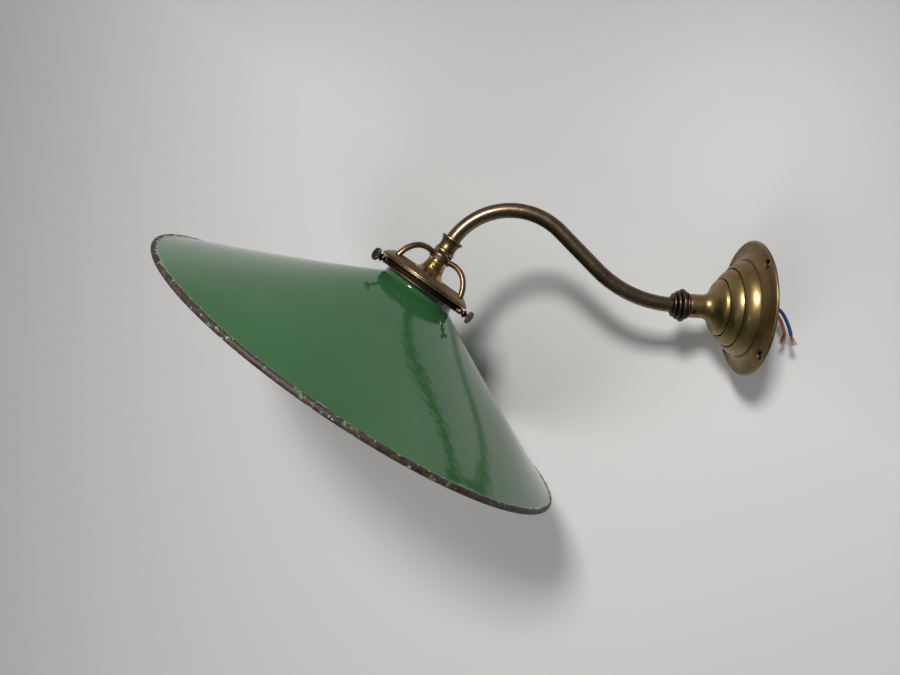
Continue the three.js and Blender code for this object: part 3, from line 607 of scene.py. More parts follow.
def frayed(start, lean, seed, wires=19, columns=7):
    """Thin wires that leave the insulation side by side and splay: start + lean * length * s, and
    sideways each wire's own share of 0.72 + 2 s^1.6, with a slight curl of sin(5 s)."""
    draw = np.random.default_rng(seed)
    side = np.cross(lean, [0.0, 1.0, 0.0])
    side /= np.linalg.norm(side)
    other = np.cross(lean, side)
    golden = math.pi * (3 - math.sqrt(5))
    k = np.arange(wires)
    packed = np.sqrt((k + 0.5) / wires)[:, None]
    way = np.column_stack((np.cos(k * golden), np.sin(k * golden)))
    long = STRAND_LENGTH * draw.uniform(0.82, 1.0, wires)
    s = np.linspace(0, 1, 14)
    grids = []
    for i in range(wires):
        splay = way[i] * packed[i] * (0.72 + 2.0 * s[:, None] ** 1.6)
        splay = splay + 0.25 * s[:, None] * np.sin(5 * s[:, None] + draw.uniform(0, 6, 2))
        line = start + lean * (s[:, None] * long[i]) + side * splay[:, :1] + other * splay[:, 1:]
        grids.append(capped(line, STRAND_RADIUS, columns))
    return grids


def finish_piece(piece, body, material, node):
    """A finished piece rides on its body, stands for its CAD node and has its finish."""
    piece.data.materials.clear()
    piece.data.materials.append(material)
    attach(piece, body)
    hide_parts(node)
    print(f"{piece.name}: {len(piece.data.polygons)} faces, on the body {body}")


for number, colour in enumerate(CORE_FINISH):
    line = smooth_line(TAIL_ROUTES[colour])
    measured = np.linalg.norm(np.diff(line, axis=0), axis=1).sum()
    core_grid = capped(line, WIRE_RADIUS, columns=24)
    core = piece_from_grids(f"core_tail_{colour}", [core_grid], closed=False)
    lean = np.array(STRAND_LEANS[colour]) / np.linalg.norm(STRAND_LEANS[colour])
    wires = frayed(line[-1] - STRAND_TUCK * lean, lean, seed=11 + number)
    strands = piece_from_grids(f"strands_{colour}", wires, closed=False)
    finish_piece(core, "rose", CORE_FINISH[colour], f"tail_wire_{colour}")
    finish_piece(strands, "rose", copper, f"copper_strands_{colour}")
    print(f"{colour} core: {measured:.1f} mm along its line")


# %% [markdown]
# ## The rose
#
# A rose is spun or pressed from sheet and then turned: a flat flange with countersunk holes, a
# cove, two rounded steps with a groove at the foot of each, and a trumpet up to a thick neck. It
# is one closed profile, inside and outside, turned about the wall axis, with the holes cut after.

# %% Rose
ROSE_RADIUS, ROSE_WALL, FLANGE_TOP, COVE_TOP = 44.8, 1.3, 2.0, 5.6
DRUM_RADIUS, DRUM_TOP, STEP_RADIUS, STEP_TOP = 31.8, 12.6, 25.6, 18.6
BELL_RADIUS, FLARE_TOP, ROSE_TOP, NECK_WALL = 18.6, 30.5, 39.3, 2.6
FIXING_CIRCLE, FIXING_HOLE_RADIUS = 40.0, 2.2
BORE = TUBE_RADIUS + FIT
NECK_RADIUS = BORE + NECK_WALL
WASHER_SEAT = STEP_TOP + 3.4


def band(low_radius, low, high_radius, high, count=18):
    """A bulging step from its foot to its top: 0.4 of a straight slope and 0.6 of a quarter of an
    ellipse, which goes in by 1 - cos(a) and up by sin(a)."""
    share = np.linspace(0, 1, count + 1)
    inward = 0.4 * share + 0.6 * (1 - np.cos(share * math.pi / 2))
    upward = 0.4 * share + 0.6 * np.sin(share * math.pi / 2)
    return np.column_stack((low_radius + (high_radius - low_radius) * inward,
                            low + (high - low) * upward))


def rose_outline():
    """The rose's closed profile: from the flange's edge up the outside to the neck's end, and back
    down the bore and the lining, which follows each band one wall's thickness below it."""
    edge, groove = 0.6, 0.45
    lining = groove + ROSE_WALL
    return np.vstack((
        [(ROSE_RADIUS - edge, 0), (ROSE_RADIUS, edge), (ROSE_RADIUS, FLANGE_TOP - edge)],
        [(ROSE_RADIUS - edge, FLANGE_TOP), (ROSE_RADIUS - 3 * edge, FLANGE_TOP)],
        bezier([(DRUM_RADIUS + 6.2, FLANGE_TOP + 0.55), (DRUM_RADIUS + 3, COVE_TOP - 2.0),
                (DRUM_RADIUS + groove, COVE_TOP - 0.5)], 8),
        band(DRUM_RADIUS, COVE_TOP, STEP_RADIUS + 2 * groove, DRUM_TOP),
        [(STEP_RADIUS + groove, DRUM_TOP - groove)],
        band(STEP_RADIUS, DRUM_TOP, BELL_RADIUS + 2 * groove, STEP_TOP),
        [(BELL_RADIUS + groove, STEP_TOP - groove), (BELL_RADIUS, STEP_TOP + groove)],
        bezier([(BELL_RADIUS - 0.3, STEP_TOP + 1.6), (BELL_RADIUS - 2.1, STEP_TOP + 5.4),
                (NECK_RADIUS + 0.7, STEP_TOP + 4.6), (NECK_RADIUS, FLARE_TOP)], 26),
        [(NECK_RADIUS, ROSE_TOP), (BORE, ROSE_TOP), (BORE, WASHER_SEAT), (8.5, WASHER_SEAT)],
        [(BELL_RADIUS - 5.4, STEP_TOP + 2.6), (BELL_RADIUS - 1.8, STEP_TOP + 0.2)],
        band(STEP_RADIUS - lining, DRUM_TOP - lining, BELL_RADIUS - 1.8, STEP_TOP - lining)[::-1],
        band(DRUM_RADIUS - lining, COVE_TOP - lining, STEP_RADIUS - ROSE_WALL,
             DRUM_TOP - lining)[-2::-1],
        [(DRUM_RADIUS - lining, 0)],
    ))


rose, rose_profile = turned_piece("rose_dome", rose_outline(), WALL_FRAME, soft=0.25, longest=0.9,
                                  columns=176)
countersink = [(0, -1), (FIXING_HOLE_RADIUS, -1), (FIXING_HOLE_RADIUS, FLANGE_TOP - 1),
               (FIXING_HOLE_RADIUS + 1.4, FLANGE_TOP + 1), (0, FLANGE_TOP + 1)]
tools = []
for quarter in range(4):
    angle = math.pi / 2 * (quarter + 0.5)
    hole = lathe(np.array(countersink), 40)
    hole = hole + np.array([FIXING_CIRCLE * math.cos(angle), 0, FIXING_CIRCLE * math.sin(angle)])
    tools.append(mesh_from_grids("tool", [placed(hole, WALL_FRAME)], closed=False))

GRUB_RADIUS, GRUB_DROP, GRUB_TURN = 1.2, 2.1, math.radians(-30)
# The grub screw's line points out of the neck, 30 degrees round from straight across.
grub_way = placed(np.array([-math.cos(GRUB_TURN), 0, math.sin(GRUB_TURN)]), WALL_FRAME)
grub_seat = placed(np.array([0, ROSE_TOP - GRUB_DROP, 0.0]), WALL_FRAME)
tools.append(rod(grub_seat + grub_way * (BORE - 1), grub_seat + grub_way * (NECK_RADIUS + 1),
                 GRUB_RADIUS + FIT))
cut(rose, tools)
# The flange is a little dirtier than the dome, and the walls of the holes are painted dark as
# shade inside them.
FLANGE_DIRT, HOLE_PAINTED_SHADE = 0.38, 0.9
on_flange = np.clip((COVE_TOP - rose_profile[:, 1]) / (COVE_TOP - FLANGE_TOP), 0, 1)
rose_wear = edge_wear(rose_profile, 0.4)
rose_wear = np.where(on_flange > 0.3, np.maximum(rose_wear, 0), rose_wear) - FLANGE_DIRT * on_flange
mark_wear_and_shade(rose, WALL_FRAME, rose_profile, rose_wear, elsewhere=-HOLE_PAINTED_SHADE, reach=0.3)
finish_piece(rose, "rose", rose_brass, "rose")

# %% [markdown]
# ## What holds the arm in the rose
#
# A slotted grub screw in the neck, and inside the dome a washer and a hexagon nut. The nut's
# corners are turned off, so its radius is the smaller of a hexagon's and a cone's.

# %% Grub screw and nut
grub_profile = softened([(0, BORE + FIT), (GRUB_RADIUS - 0.3, BORE + FIT), (GRUB_RADIUS, BORE + 0.7),
                         (GRUB_RADIUS, NECK_RADIUS - FIT), (0, NECK_RADIUS - FIT)], 0.08, False)
grub_side = np.cross(grub_way, [0, -1.0, 0])
GRUB_FRAME = (grub_seat, np.array([grub_side, grub_way, np.cross(grub_side, grub_way)]))
grub, _ = turned_piece("neck_grub_screw_slotted", grub_profile, GRUB_FRAME, soft=0.05, longest=0.5,
                       columns=32, closed=False)
GRUB_SLOT_WIDTH = 0.36
cut(grub, [block((-2, NECK_RADIUS - 1, -GRUB_SLOT_WIDTH / 2),
                 (2, NECK_RADIUS + 1, GRUB_SLOT_WIDTH / 2), GRUB_FRAME)])
finish_piece(grub, "rose", bronzed_brass, "neck_grub_screw")

NUT_RADIUS, NUT_HEIGHT, NUT_CHAMFER, NUT_COLUMNS, WASHER_THICKNESS = 8.6, 3.4, 0.7, 96, 1.0
nut_back = WASHER_SEAT - 2 * FIT - WASHER_THICKNESS - NUT_HEIGHT
from_face = np.array([0, NUT_CHAMFER / 2, NUT_CHAMFER])
heights = np.concatenate((from_face[:1], from_face, NUT_HEIGHT - from_face[::-1], [NUT_HEIGHT]))
chamfered = NUT_RADIUS - 1.2 * (NUT_CHAMFER - np.concatenate((from_face, from_face[::-1])))
sixth = math.pi / 3
off_flat = full_turn(NUT_COLUMNS) % sixth - sixth / 2
hexagon = NUT_RADIUS * math.cos(sixth / 2) / np.cos(off_flat)
bore_ring = np.full((1, NUT_COLUMNS), BORE)
radius = np.vstack((bore_ring, np.minimum(hexagon[None, :], chamfered[:, None]), bore_ring))
nut_grid = placed(turned(radius, nut_back + heights[:, None]), WALL_FRAME)
nut = piece_from_grids("arm_nut", [nut_grid], sharp=25)
finish_piece(nut, "arm", rose_brass, "arm_backnut")

# %% [markdown]
# ## The reeded collar
#
# Four rounded ribs of different sizes, turned from one bar. Each rib is flat on top and falls ever
# faster to the hollow beside it, and the hollows stay dark.

# %% Collar
COLLAR_FOOT, COLLAR_LENGTH, RIB_GROOVE = ROSE_TOP + FIT, 11.4, 1.3
RIBS = ((1.3, 9.2, 1.3), (4.2, 11.0, 1.6), (7.1, 9.6, 1.3), (9.7, 8.0, 1.2))


def rib(middle, radius, half):
    """One rib: radius - groove * |share|^2.6 over its width, from one hollow to the next."""
    share = np.linspace(-1, 1, 15)
    return np.column_stack((radius - RIB_GROOVE * np.abs(share) ** 2.6, middle + half * share))


collar_outline = np.vstack((
    [(BORE, 0)], *(rib(*values) for values in RIBS),
    [(BORE + 0.6, COLLAR_LENGTH), (BORE, COLLAR_LENGTH)],
)) + [0, COLLAR_FOOT]
collar, _ = turned_piece("reeded_collar", collar_outline, WALL_FRAME, soft=0.2, longest=0.6,
                         columns=112)
finish_piece(collar, "arm", bronzed_brass, "arm_collar")

# %% [markdown]
# ## The swan neck
#
# A 10 mm tube with a 1.2 mm wall, drawn and then bent. The outside runs out, turns in at the cut
# end, and comes back as the inside, so the whole wall is one closed surface.

# %% Tube
SOCKET_DEPTH, CUT_EDGE = 3.3, 0.25
tube_line = neck_line(0.9, SOCKET_DEPTH - FIT)
outside = np.full(len(tube_line), TUBE_RADIUS)
outside[[0, -1]] -= CUT_EDGE
inside = np.full(len(tube_line), TUBE_RADIUS - TUBE_WALL)
out_and_back = np.concatenate((swept(tube_line, rings(outside, columns=56)),
                               swept(tube_line, rings(inside, columns=56))[::-1]))
tube = piece_from_grids("swan_neck", [out_and_back])
finish_piece(tube, "arm", tube_brass, "swan_neck_tube")
print("tube:", round(float(np.linalg.norm(np.diff(tube_line, axis=0), axis=1).sum()), 1), "mm long")

# %% [markdown]
# ## Coupling and lock ring
#
# The coupling is a waisted sleeve with a flange at the top and a foot. Under it a thin knurled ring
# locks the gallery. Knurling is a ripple in the radius all round: r = R - depth * ripple(angle).

# %% Coupling and lock ring
COUPLING_HEIGHT, COUPLING_RISE, COUPLING_FLANGE_RADIUS = 9.3, 1.4, 7.8
COUPLING_WAIST_RADIUS, COUPLING_FOOT_RADIUS = 5.9, 7.2
NIPPLE_BORE = 4.4 + FIT
coupling_outline = np.vstack((
    [(BORE, COUPLING_RISE), (COUPLING_FLANGE_RADIUS - 0.4, COUPLING_RISE)],
    [(COUPLING_FLANGE_RADIUS, COUPLING_RISE - 0.4), (COUPLING_FLANGE_RADIUS, COUPLING_RISE - 1.3)],
    [(COUPLING_FLANGE_RADIUS - 0.9, COUPLING_RISE - 2)],
    bezier([(COUPLING_WAIST_RADIUS + 0.8, COUPLING_RISE - 2.6),
            (COUPLING_WAIST_RADIUS - 0.5, (COUPLING_RISE - COUPLING_HEIGHT) / 2),
            (COUPLING_FOOT_RADIUS - 0.7, 1.6 - COUPLING_HEIGHT)], 16),
    [(COUPLING_FOOT_RADIUS, 1.2 - COUPLING_HEIGHT), (COUPLING_FOOT_RADIUS, -COUPLING_HEIGHT)],
    [(NIPPLE_BORE, -COUPLING_HEIGHT), (NIPPLE_BORE, -SOCKET_DEPTH), (BORE, -SOCKET_DEPTH)],
))
coupling, _ = turned_piece("shade_coupling_turned", coupling_outline, HEAD_FRAME, soft=0.2,
                           longest=0.6, columns=112)
finish_piece(coupling, "arm", coupling_brass, "shade_coupling")

LOCK_RING_RADIUS, LOCK_RING_HEIGHT = 6.9, 1.6
lock_top = COUPLING_HEIGHT + FIT


def knurled(profile, teeth, depth, columns, limit):
    """A turned grid whose radius, where it is over the limit, is less by depth * (1 - |cos|) of
    half the tooth angle, which leaves rounded teeth with narrow hollows."""
    ripple = depth * (1 - np.abs(np.cos(teeth * full_turn(columns) / 2)))
    return turned(profile[:, :1] - ripple * (profile[:, :1] > limit), profile[:, 1:])


lock_foot = lock_top + LOCK_RING_HEIGHT
lock_outline = softened([(NIPPLE_BORE, -lock_top), (LOCK_RING_RADIUS, -lock_top),
                         (LOCK_RING_RADIUS, -lock_foot), (NIPPLE_BORE, -lock_foot)], 0.2)
lock_grid = knurled(divided(lock_outline, 0.5), teeth=40, depth=0.35, columns=320,
                    limit=NIPPLE_BORE + 0.5)
lock_ring = piece_from_grids("lock_ring_knurled", [placed(lock_grid, HEAD_FRAME)])
finish_piece(lock_ring, "arm", bronzed_brass, "gallery_lock_ring")

# %% [markdown]
# ## The gallery
#
# A gallery is cast and turned: a hub, three bowed arms, and a ring whose skirt covers the shade's
# lip. Two fine bead lines run round the skirt's rim. The parts are made apart, joined into one
# solid, and the bore and the screw holes are cut through the result.

# %% Gallery sizes and outline
SHADE_NECK_RADIUS, SHADE_LIP, SHADE_LIP_HEIGHT = 25.6, 2.2, 2.4
HUB_RADIUS, HUB_HEIGHT = 7.7, 4.6
BAND_HEIGHT, SKIRT_HEIGHT, SKIRT_SLOPE, SKIRT_DROP = 4.5, 6.0, 6.2, 26.6
ARM_WIDTH, ARM_THICKNESS = 4.4, 3.8
SCREW_RADIUS, SCREW_BELOW_RIM = 1.3, 2.4
hub_top = lock_foot + FIT
cap_top = hub_top + HUB_HEIGHT + FIT
band_inside = SHADE_NECK_RADIUS + SHADE_LIP + 1.8
band_outside = band_inside + 1.2
skirt_radius = band_outside + 3.0
skirt_foot = SKIRT_DROP + SKIRT_HEIGHT
band_foot = skirt_foot + BAND_HEIGHT
screw_drop = skirt_foot + SCREW_BELOW_RIM
SCREW_ANGLES = math.radians(52) + 2 * math.pi * np.arange(3) / 3
skirt_top = skirt_radius - SKIRT_SLOPE
skirt_profile = divided(softened([
    (band_inside, -band_foot), (band_outside, -band_foot), (band_outside, -skirt_foot),
    (skirt_radius - 0.5, -skirt_foot), (skirt_radius, 0.4 - skirt_foot),
    (skirt_radius, 1 - skirt_foot), (skirt_radius - 0.6, 1.3 - skirt_foot),
    (skirt_radius - 0.3, 1.6 - skirt_foot), (skirt_radius - 0.4, 2.1 - skirt_foot),
    (skirt_radius - 1.15, 2.35 - skirt_foot), (skirt_radius - 1.3, 2.75 - skirt_foot),
    (skirt_top + 0.3, -SKIRT_DROP), (skirt_top - 0.5, -SKIRT_DROP),
    (skirt_top - 0.5, -SKIRT_DROP - 1), (band_inside, 3 - skirt_foot),
], 0.16), 0.8)
hub_foot = hub_top + HUB_HEIGHT
hub_profile = divided(softened([(0, -hub_top), (HUB_RADIUS, -hub_top), (HUB_RADIUS, -hub_foot),
                                (0, -hub_foot)], 0.5, closed=False), 0.8, closed=False)


# %% Gallery arms, joined and cut
def gallery_arm(angle):
    """An oval bar along a cubic curve from the hub to the skirt's top, in the plane at this angle
    round the axis."""
    start, foot = hub_foot - ARM_THICKNESS / 2 - FIT, SKIRT_DROP + 1.2
    inner, outer = HUB_RADIUS - 1.8, band_inside - 1.2
    flat = bezier([(inner, -start), (inner + 0.36 * (outer - inner), 2.8 - start),
                   (outer - 3.5, 0.4 - start), (outer, -foot)], 36)
    way = np.array([math.cos(angle), 0, math.sin(angle)])
    line = flat[:, :1] * way + flat[:, 1:] * np.array([0, 1.0, 0])
    across = np.array([-math.sin(angle), 0, math.cos(angle)])
    oval = rings(np.ones(len(line)), 28) * [ARM_THICKNESS / 2, ARM_WIDTH / 2]
    return placed(with_ends(swept(line, oval, across)), HEAD_FRAME)


def at_head(*upright):
    """A point given as (across, height, out) about the shade's axis."""
    return placed(np.array(upright, float), HEAD_FRAME)


def radial(angle, distance):
    """A point on a thumb screw's line, at a distance from the shade's axis."""
    return at_head(distance * math.cos(angle), -screw_drop, distance * math.sin(angle))


gallery = piece_from_grids("gallery_cast", [placed(lathe(skirt_profile, 168), HEAD_FRAME)])
hub_mesh = mesh_from_grids("tool", [placed(lathe(hub_profile, 112), HEAD_FRAME)], closed=False)
arm_meshes = [mesh_from_grids("tool", [gallery_arm(a)], closed=False) for a in SCREW_ANGLES]
cut(gallery, [*arm_meshes, hub_mesh], "UNION")
bore_tool = rod(at_head(0, 3 - hub_top, 0), at_head(0, -cap_top - 3, 0), NIPPLE_BORE, 64)
screw_tools = [rod(radial(a, band_inside - 1), radial(a, band_outside + 1), SCREW_RADIUS + FIT, 32)
               for a in SCREW_ANGLES]
cut(gallery, [bore_tool, *screw_tools])
# The band under the skirt is darkened, as painted shade under the skirt and as tarnish, and so is
# the hub; the arms are a little brighter than flat metal.
HUB_DARKENING, BAND_SHADE_AND_TARNISH, ARM_SHINE = 0.55, 0.9, 0.25
band_points = skirt_profile[:, 1] < -skirt_foot - 0.3
skirt_wear_and_shade = edge_wear(skirt_profile, 0.3) - BAND_SHADE_AND_TARNISH * band_points
hub_wear_and_darkening = edge_wear(hub_profile, 0.3, closed=False) - HUB_DARKENING
both_wear_and_shade = np.concatenate((skirt_wear_and_shade, hub_wear_and_darkening))
mark_wear_and_shade(gallery, HEAD_FRAME, np.vstack((skirt_profile, hub_profile)), both_wear_and_shade,
          elsewhere=ARM_SHINE, reach=0.3)
finish_piece(gallery, "arm", gallery_brass, "gallery")

# %% [markdown]
# ## Bosses and thumb screws
#
# Each boss is a short sleeve on the band. Each thumb screw has a blunt point, a bead part way
# along, and a round head with a milled edge. It runs through the boss with a small gap.

# %% Bosses and thumb screws
BOSS_RADIUS, BOSS_LENGTH = 2.1, 3.6
SCREW_BEAD_RADIUS, SCREW_HEAD_RADIUS, SCREW_HEAD_WIDTH = 2.6, 4.2, 2.2
boss_start = band_outside + FIT
boss_end = boss_start + BOSS_LENGTH
bead = boss_end + 2.6
head = bead + 3.2 + SCREW_HEAD_WIDTH / 2
head_low, head_high = head - SCREW_HEAD_WIDTH / 2, head + SCREW_HEAD_WIDTH / 2
screw_outline = np.vstack((
    [(0, SHADE_NECK_RADIUS + FIT), (SCREW_RADIUS, SHADE_NECK_RADIUS + FIT + 0.5)],
    [(SCREW_RADIUS, bead - 0.9)],
    arc(SCREW_BEAD_RADIUS - 0.75, bead, 0.75, -75, 75, 8),
    [(SCREW_RADIUS, bead + 1), (SCREW_RADIUS, head_low - 0.5), (SCREW_RADIUS + 1.0, head_low)],
    [(SCREW_HEAD_RADIUS, 0.4 + head_low), (SCREW_HEAD_RADIUS, head_high - 0.4)],
    [(SCREW_HEAD_RADIUS - 0.5, head_high), (1.6, head_high), (1.2, head_high - 0.2)],
    [(0, head_high - 0.2)],
))
screw_profile = divided(softened(screw_outline, 0.15, closed=False), 0.5, closed=False)
boss_outline = [(SCREW_RADIUS + FIT, boss_start), (BOSS_RADIUS, boss_start),
                (BOSS_RADIUS, boss_end), (SCREW_RADIUS + FIT, boss_end)]
for number, angle in enumerate(SCREW_ANGLES, start=1):
    way = radial(angle, 1.0) - radial(angle, 0.0)
    side = np.cross(way, UP)
    screw_frame = (radial(angle, 0.0), np.array([side, way, np.cross(side, way)]))
    boss, _ = turned_piece(f"boss_{number}", boss_outline, screw_frame, soft=0.15, longest=0.6,
                           columns=40)
    finish_piece(boss, "arm", gallery_brass, f"screw_boss_{number}")
    milled = knurled(screw_profile, teeth=30, depth=0.22, columns=240,
                     limit=SCREW_HEAD_RADIUS - 0.45)
    screw = piece_from_grids(f"thumb_screw_{number}", [placed(milled, screw_frame)], closed=False)
    mark_wear_and_shade(screw, screw_frame, screw_profile, edge_wear(screw_profile, closed=False))
    finish_piece(screw, f"shade_screw_{number}", bronzed_brass,
                 f"shade_screw_{number}")

# %% [markdown]
# ## Vitreous enamel
#
# The shade is pressed from sheet steel and fired with glass. The outside is deep green and the
# inside white. Glass fired on a large cone isn't flat: it ripples over a few millimetres, which
# breaks up reflections. Along the rolled rim the glass has chipped off down to rusty steel, with a
# pale edge where the ground coat shows and flakes of glass left here and there. Two numbers stored
# on the points say how near the rim a point is and which side it is on.

# %% Enamel material
def vitreous_enamel():
    """Glossy green or white glass with fine specks, chipped to rust near the rim."""
    material, tree, output = new_material("vitreous_enamel")
    rim, inner = attribute(tree, "rim"), attribute(tree, "inner")
    cloud = noise(tree, 60.0, 3.0, 0.5)
    green = blend_colours(tree, ramp(tree, cloud, 0.3, 0.7), "#325f36", "#2d5631")
    white = blend_colours(tree, ramp(tree, cloud, 0.3, 0.7), "#e8e6dc", "#dedbcd")
    colour = blend_colours(tree, inner, green, white)
    # Noise alone never reaches 0.93, so glass is lost only where the rim's share is added to it.
    chips = noise(tree, 5.0, 5.0, 0.65)
    loss = maths(tree, "ADD", maths(tree, "MULTIPLY", rim, 0.62), chips)
    pale = ramp(tree, loss, 0.93, 0.96)
    bare = ramp(tree, loss, 0.975, 1.0)
    patches = ramp(tree, noise(tree, 3.0, 4.0, 0.6), 0.42, 0.58)
    flakes = ramp(tree, noise(tree, 6.0, 6.0, 0.7), 0.58, 0.61, 0.0, 0.75)
    rust = blend_colours(tree, patches, "#3e2a22", "#15110f")
    rust = blend_colours(tree, flakes, rust, "#66705f")
    colour = blend_colours(tree, pale, colour, "#9aa092")
    colour = blend_colours(tree, bare, colour, rust)
    fine_specks = ramp(tree, noise(tree, 2.2, 2.0, 0.5), 0.77, 0.79, 0.0, 0.8)
    colour = blend_colours(tree, fine_specks, colour, "#1b2a1c")
    roughness = maths(tree, "ADD", ramp(tree, cloud, 0.3, 0.7, 0.06, 0.1),
                      maths(tree, "MULTIPLY", bare, 0.55))
    ripple = noise(tree, 5.0, 3.0, 0.5)
    height = maths(tree, "SUBTRACT", ripple, bare)
    bump = add(tree, "Bump", {"Height": height, "Distance": 0.00018, "Strength": 0.6})
    shader = add(tree, "BsdfPrincipled", {
        "Base Color": colour, "Roughness": roughness, "IOR": 1.56, "Normal": bump.outputs[0],
    })
    tree.links.new(shader.outputs[0], output.inputs[0])
    return material


enamel = vitreous_enamel()

# %% [markdown]
# ## The shade
#
# A neck with a lip, a cone that sags a little between neck and rim, and a rolled bead. The cone's
# radius is a straight line from rim to neck less 4 * sag * s * (1 - s). Heights are above the rim.

# %% Shade
SHADE_RADIUS, SHADE_HEIGHT, SHADE_SAG, SHADE_WALL, BEAD_RADIUS = 152.5, 64.0, 3.0, 1.0, 1.9
SHADE_NECK_HEIGHT, NECK_BEND, CHIPPED_WIDTH = 6.7, 1.5, 5.0
lip_foot = screw_drop - SCREW_RADIUS - FIT
rim_drop = lip_foot + SHADE_NECK_HEIGHT + SHADE_HEIGHT


def cone_side(count):
    """Outside of the cone, from the bead up to the neck, as (radius, height)."""
    s = np.linspace(0, 1, count)
    start, low = SHADE_RADIUS - 1.6 * BEAD_RADIUS, 1.8 * BEAD_RADIUS
    radius = start + (SHADE_NECK_RADIUS + 0.6 - start) * s - 4 * SHADE_SAG * s * (1 - s)
    return np.column_stack((radius, low + (SHADE_HEIGHT - NECK_BEND - low) * s))


lip_top = SHADE_HEIGHT + SHADE_NECK_HEIGHT + SHADE_LIP_HEIGHT
shade_inside = SHADE_NECK_RADIUS - SHADE_WALL
cone = cone_side(70)
lining = cone[1:-1][::-1] - [0, 1.12 * SHADE_WALL]
shade_outline = np.vstack((
    arc(SHADE_RADIUS - BEAD_RADIUS, BEAD_RADIUS, BEAD_RADIUS, 210, 440, 22),
    cone,
    [(SHADE_NECK_RADIUS, SHADE_HEIGHT), (SHADE_NECK_RADIUS, lip_top - SHADE_LIP_HEIGHT)],
    [(SHADE_NECK_RADIUS + SHADE_LIP - 0.5, lip_top - SHADE_LIP_HEIGHT)],
    [(SHADE_NECK_RADIUS + SHADE_LIP, lip_top - SHADE_LIP_HEIGHT / 2)],
    [(SHADE_NECK_RADIUS + SHADE_LIP - 0.8, lip_top), (shade_inside, lip_top)],
    [(shade_inside, SHADE_HEIGHT - NECK_BEND - SHADE_WALL)],
    lining,
))
shade_profile = divided(softened(shade_outline, 0.35), 2.2) - [0, rim_drop]
shade_grid = placed(lathe(shade_profile, 288), HEAD_FRAME)
shade = piece_from_grids("coolie_shade", [shade_grid], sharp=60)
index, _ = nearest(shade.data, HEAD_FRAME, shade_profile)
near_rim = np.clip(1 - (SHADE_RADIUS - shade_profile[:, 0] - 1.0) / CHIPPED_WIDTH, 0, 1)
mark(shade.data, "rim", near_rim[index])
# The profile turns inwards over the lip's inner edge, and comes back under the rim's bead.
lip_edge = int(np.argmin(np.hypot(*(shade_profile - [shade_inside, lip_top - rim_drop]).T)))
steps = np.arange(len(shade_profile))
mark(shade.data, "inner", ((steps > lip_edge) | (steps < 2))[index])
finish_piece(shade, "arm", enamel, "enamel_shade")
print("the shade is", 2 * SHADE_RADIUS, "mm across")

# %% [markdown]
# ## The lampholder
#
# The cap has a plain neck with a small bead at its foot and a flared bell. Below it the barrel
# takes the lamp: a flange, a plain tube and two bayonet slots, each a straight entry and a hook.
# A milled ring screws up the barrel, and a narrow band of fine lines runs round it below the ring.

# %% Cap and barrel
CAP_NECK_RADIUS, CAP_NECK_HEIGHT, CAP_RADIUS = 6.9, 5.0, 14.2
CAP_DOME_HEIGHT, CAP_SKIRT_HEIGHT, CAP_WALL = 10.5, 4.0, 1.0
BARREL_BORE, BARREL_WALL, BARREL_LENGTH, BARREL_UPSTAND = 11.2, 1.0, 25.0, 3.6
dome_top = cap_top + CAP_NECK_HEIGHT
cap_foot = dome_top + CAP_DOME_HEIGHT + CAP_SKIRT_HEIGHT
flange_top = cap_foot + FIT
barrel_radius = BARREL_BORE + BARREL_WALL
mid_dome = -dome_top - CAP_DOME_HEIGHT / 2
dome = bezier([(CAP_NECK_RADIUS + 0.4, -dome_top - 0.4), (CAP_NECK_RADIUS + 1.4, mid_dome),
               (CAP_RADIUS, mid_dome), (CAP_RADIUS, -dome_top - CAP_DOME_HEIGHT)], 24)
cap_outline = np.vstack((
    [(NIPPLE_BORE, -cap_top), (CAP_NECK_RADIUS, -cap_top), (CAP_NECK_RADIUS, 1 - dome_top)],
    [(CAP_NECK_RADIUS + 0.6, 0.6 - dome_top), (CAP_NECK_RADIUS + 0.6, -dome_top)],
    dome,
    [(CAP_RADIUS, 2 - cap_foot), (CAP_RADIUS + 0.8, 1.5 - cap_foot), (CAP_RADIUS + 0.8, -cap_foot)],
    [(CAP_RADIUS - CAP_WALL, -cap_foot)],
    dome[1:][::-1] - [CAP_WALL, 0.6 * CAP_WALL],
    [(NIPPLE_BORE, -dome_top - 1.4)],
))
cap, _ = turned_piece("lampholder_cap", cap_outline, HEAD_FRAME, soft=0.18, longest=0.8)
finish_piece(cap, "arm", polished_brass, "holder_cap")

barrel_foot = -flange_top - BARREL_LENGTH
THREAD_TOP, THREAD_HEIGHT, THREAD_DEPTH, THREAD_STEPS = 14.2, 1.0, 0.14, 17
thread_heights = np.linspace(0, -THREAD_HEIGHT, THREAD_STEPS) - flange_top - THREAD_TOP
thread_radii = barrel_radius - THREAD_DEPTH * (np.arange(THREAD_STEPS) % 2)
thread = np.column_stack((thread_radii, thread_heights))
barrel_outline = np.vstack((
    [(BARREL_BORE, BARREL_UPSTAND - flange_top), (barrel_radius, BARREL_UPSTAND - flange_top)],
    [(barrel_radius, -flange_top), (CAP_RADIUS, -flange_top), (CAP_RADIUS, -flange_top - 1.5)],
    [(barrel_radius, -flange_top - 1.5)], thread,
    [(barrel_radius, barrel_foot), (BARREL_BORE, barrel_foot)],
))
barrel, barrel_profile = turned_piece("lampholder_barrel", barrel_outline, HEAD_FRAME, soft=0.1,
                                      longest=1.2)

SLOT_WIDTH, SLOT_DEPTH, SLOT_HOOK = 2.4, 9.0, 3.4
half_slot = SLOT_WIDTH / 2
slot_top = barrel_foot + SLOT_DEPTH
slot_tools = []
for way in (1, -1):
    for low, hook in ((barrel_foot - 1, 0), (slot_top - SLOT_WIDTH, SLOT_HOOK)):
        slot_tools.append(block((way * (BARREL_BORE - 2), low, -way * half_slot),
                                (way * (BARREL_BORE + 2), slot_top, way * (half_slot + hook)),
                                HEAD_FRAME))
cut(barrel, slot_tools)
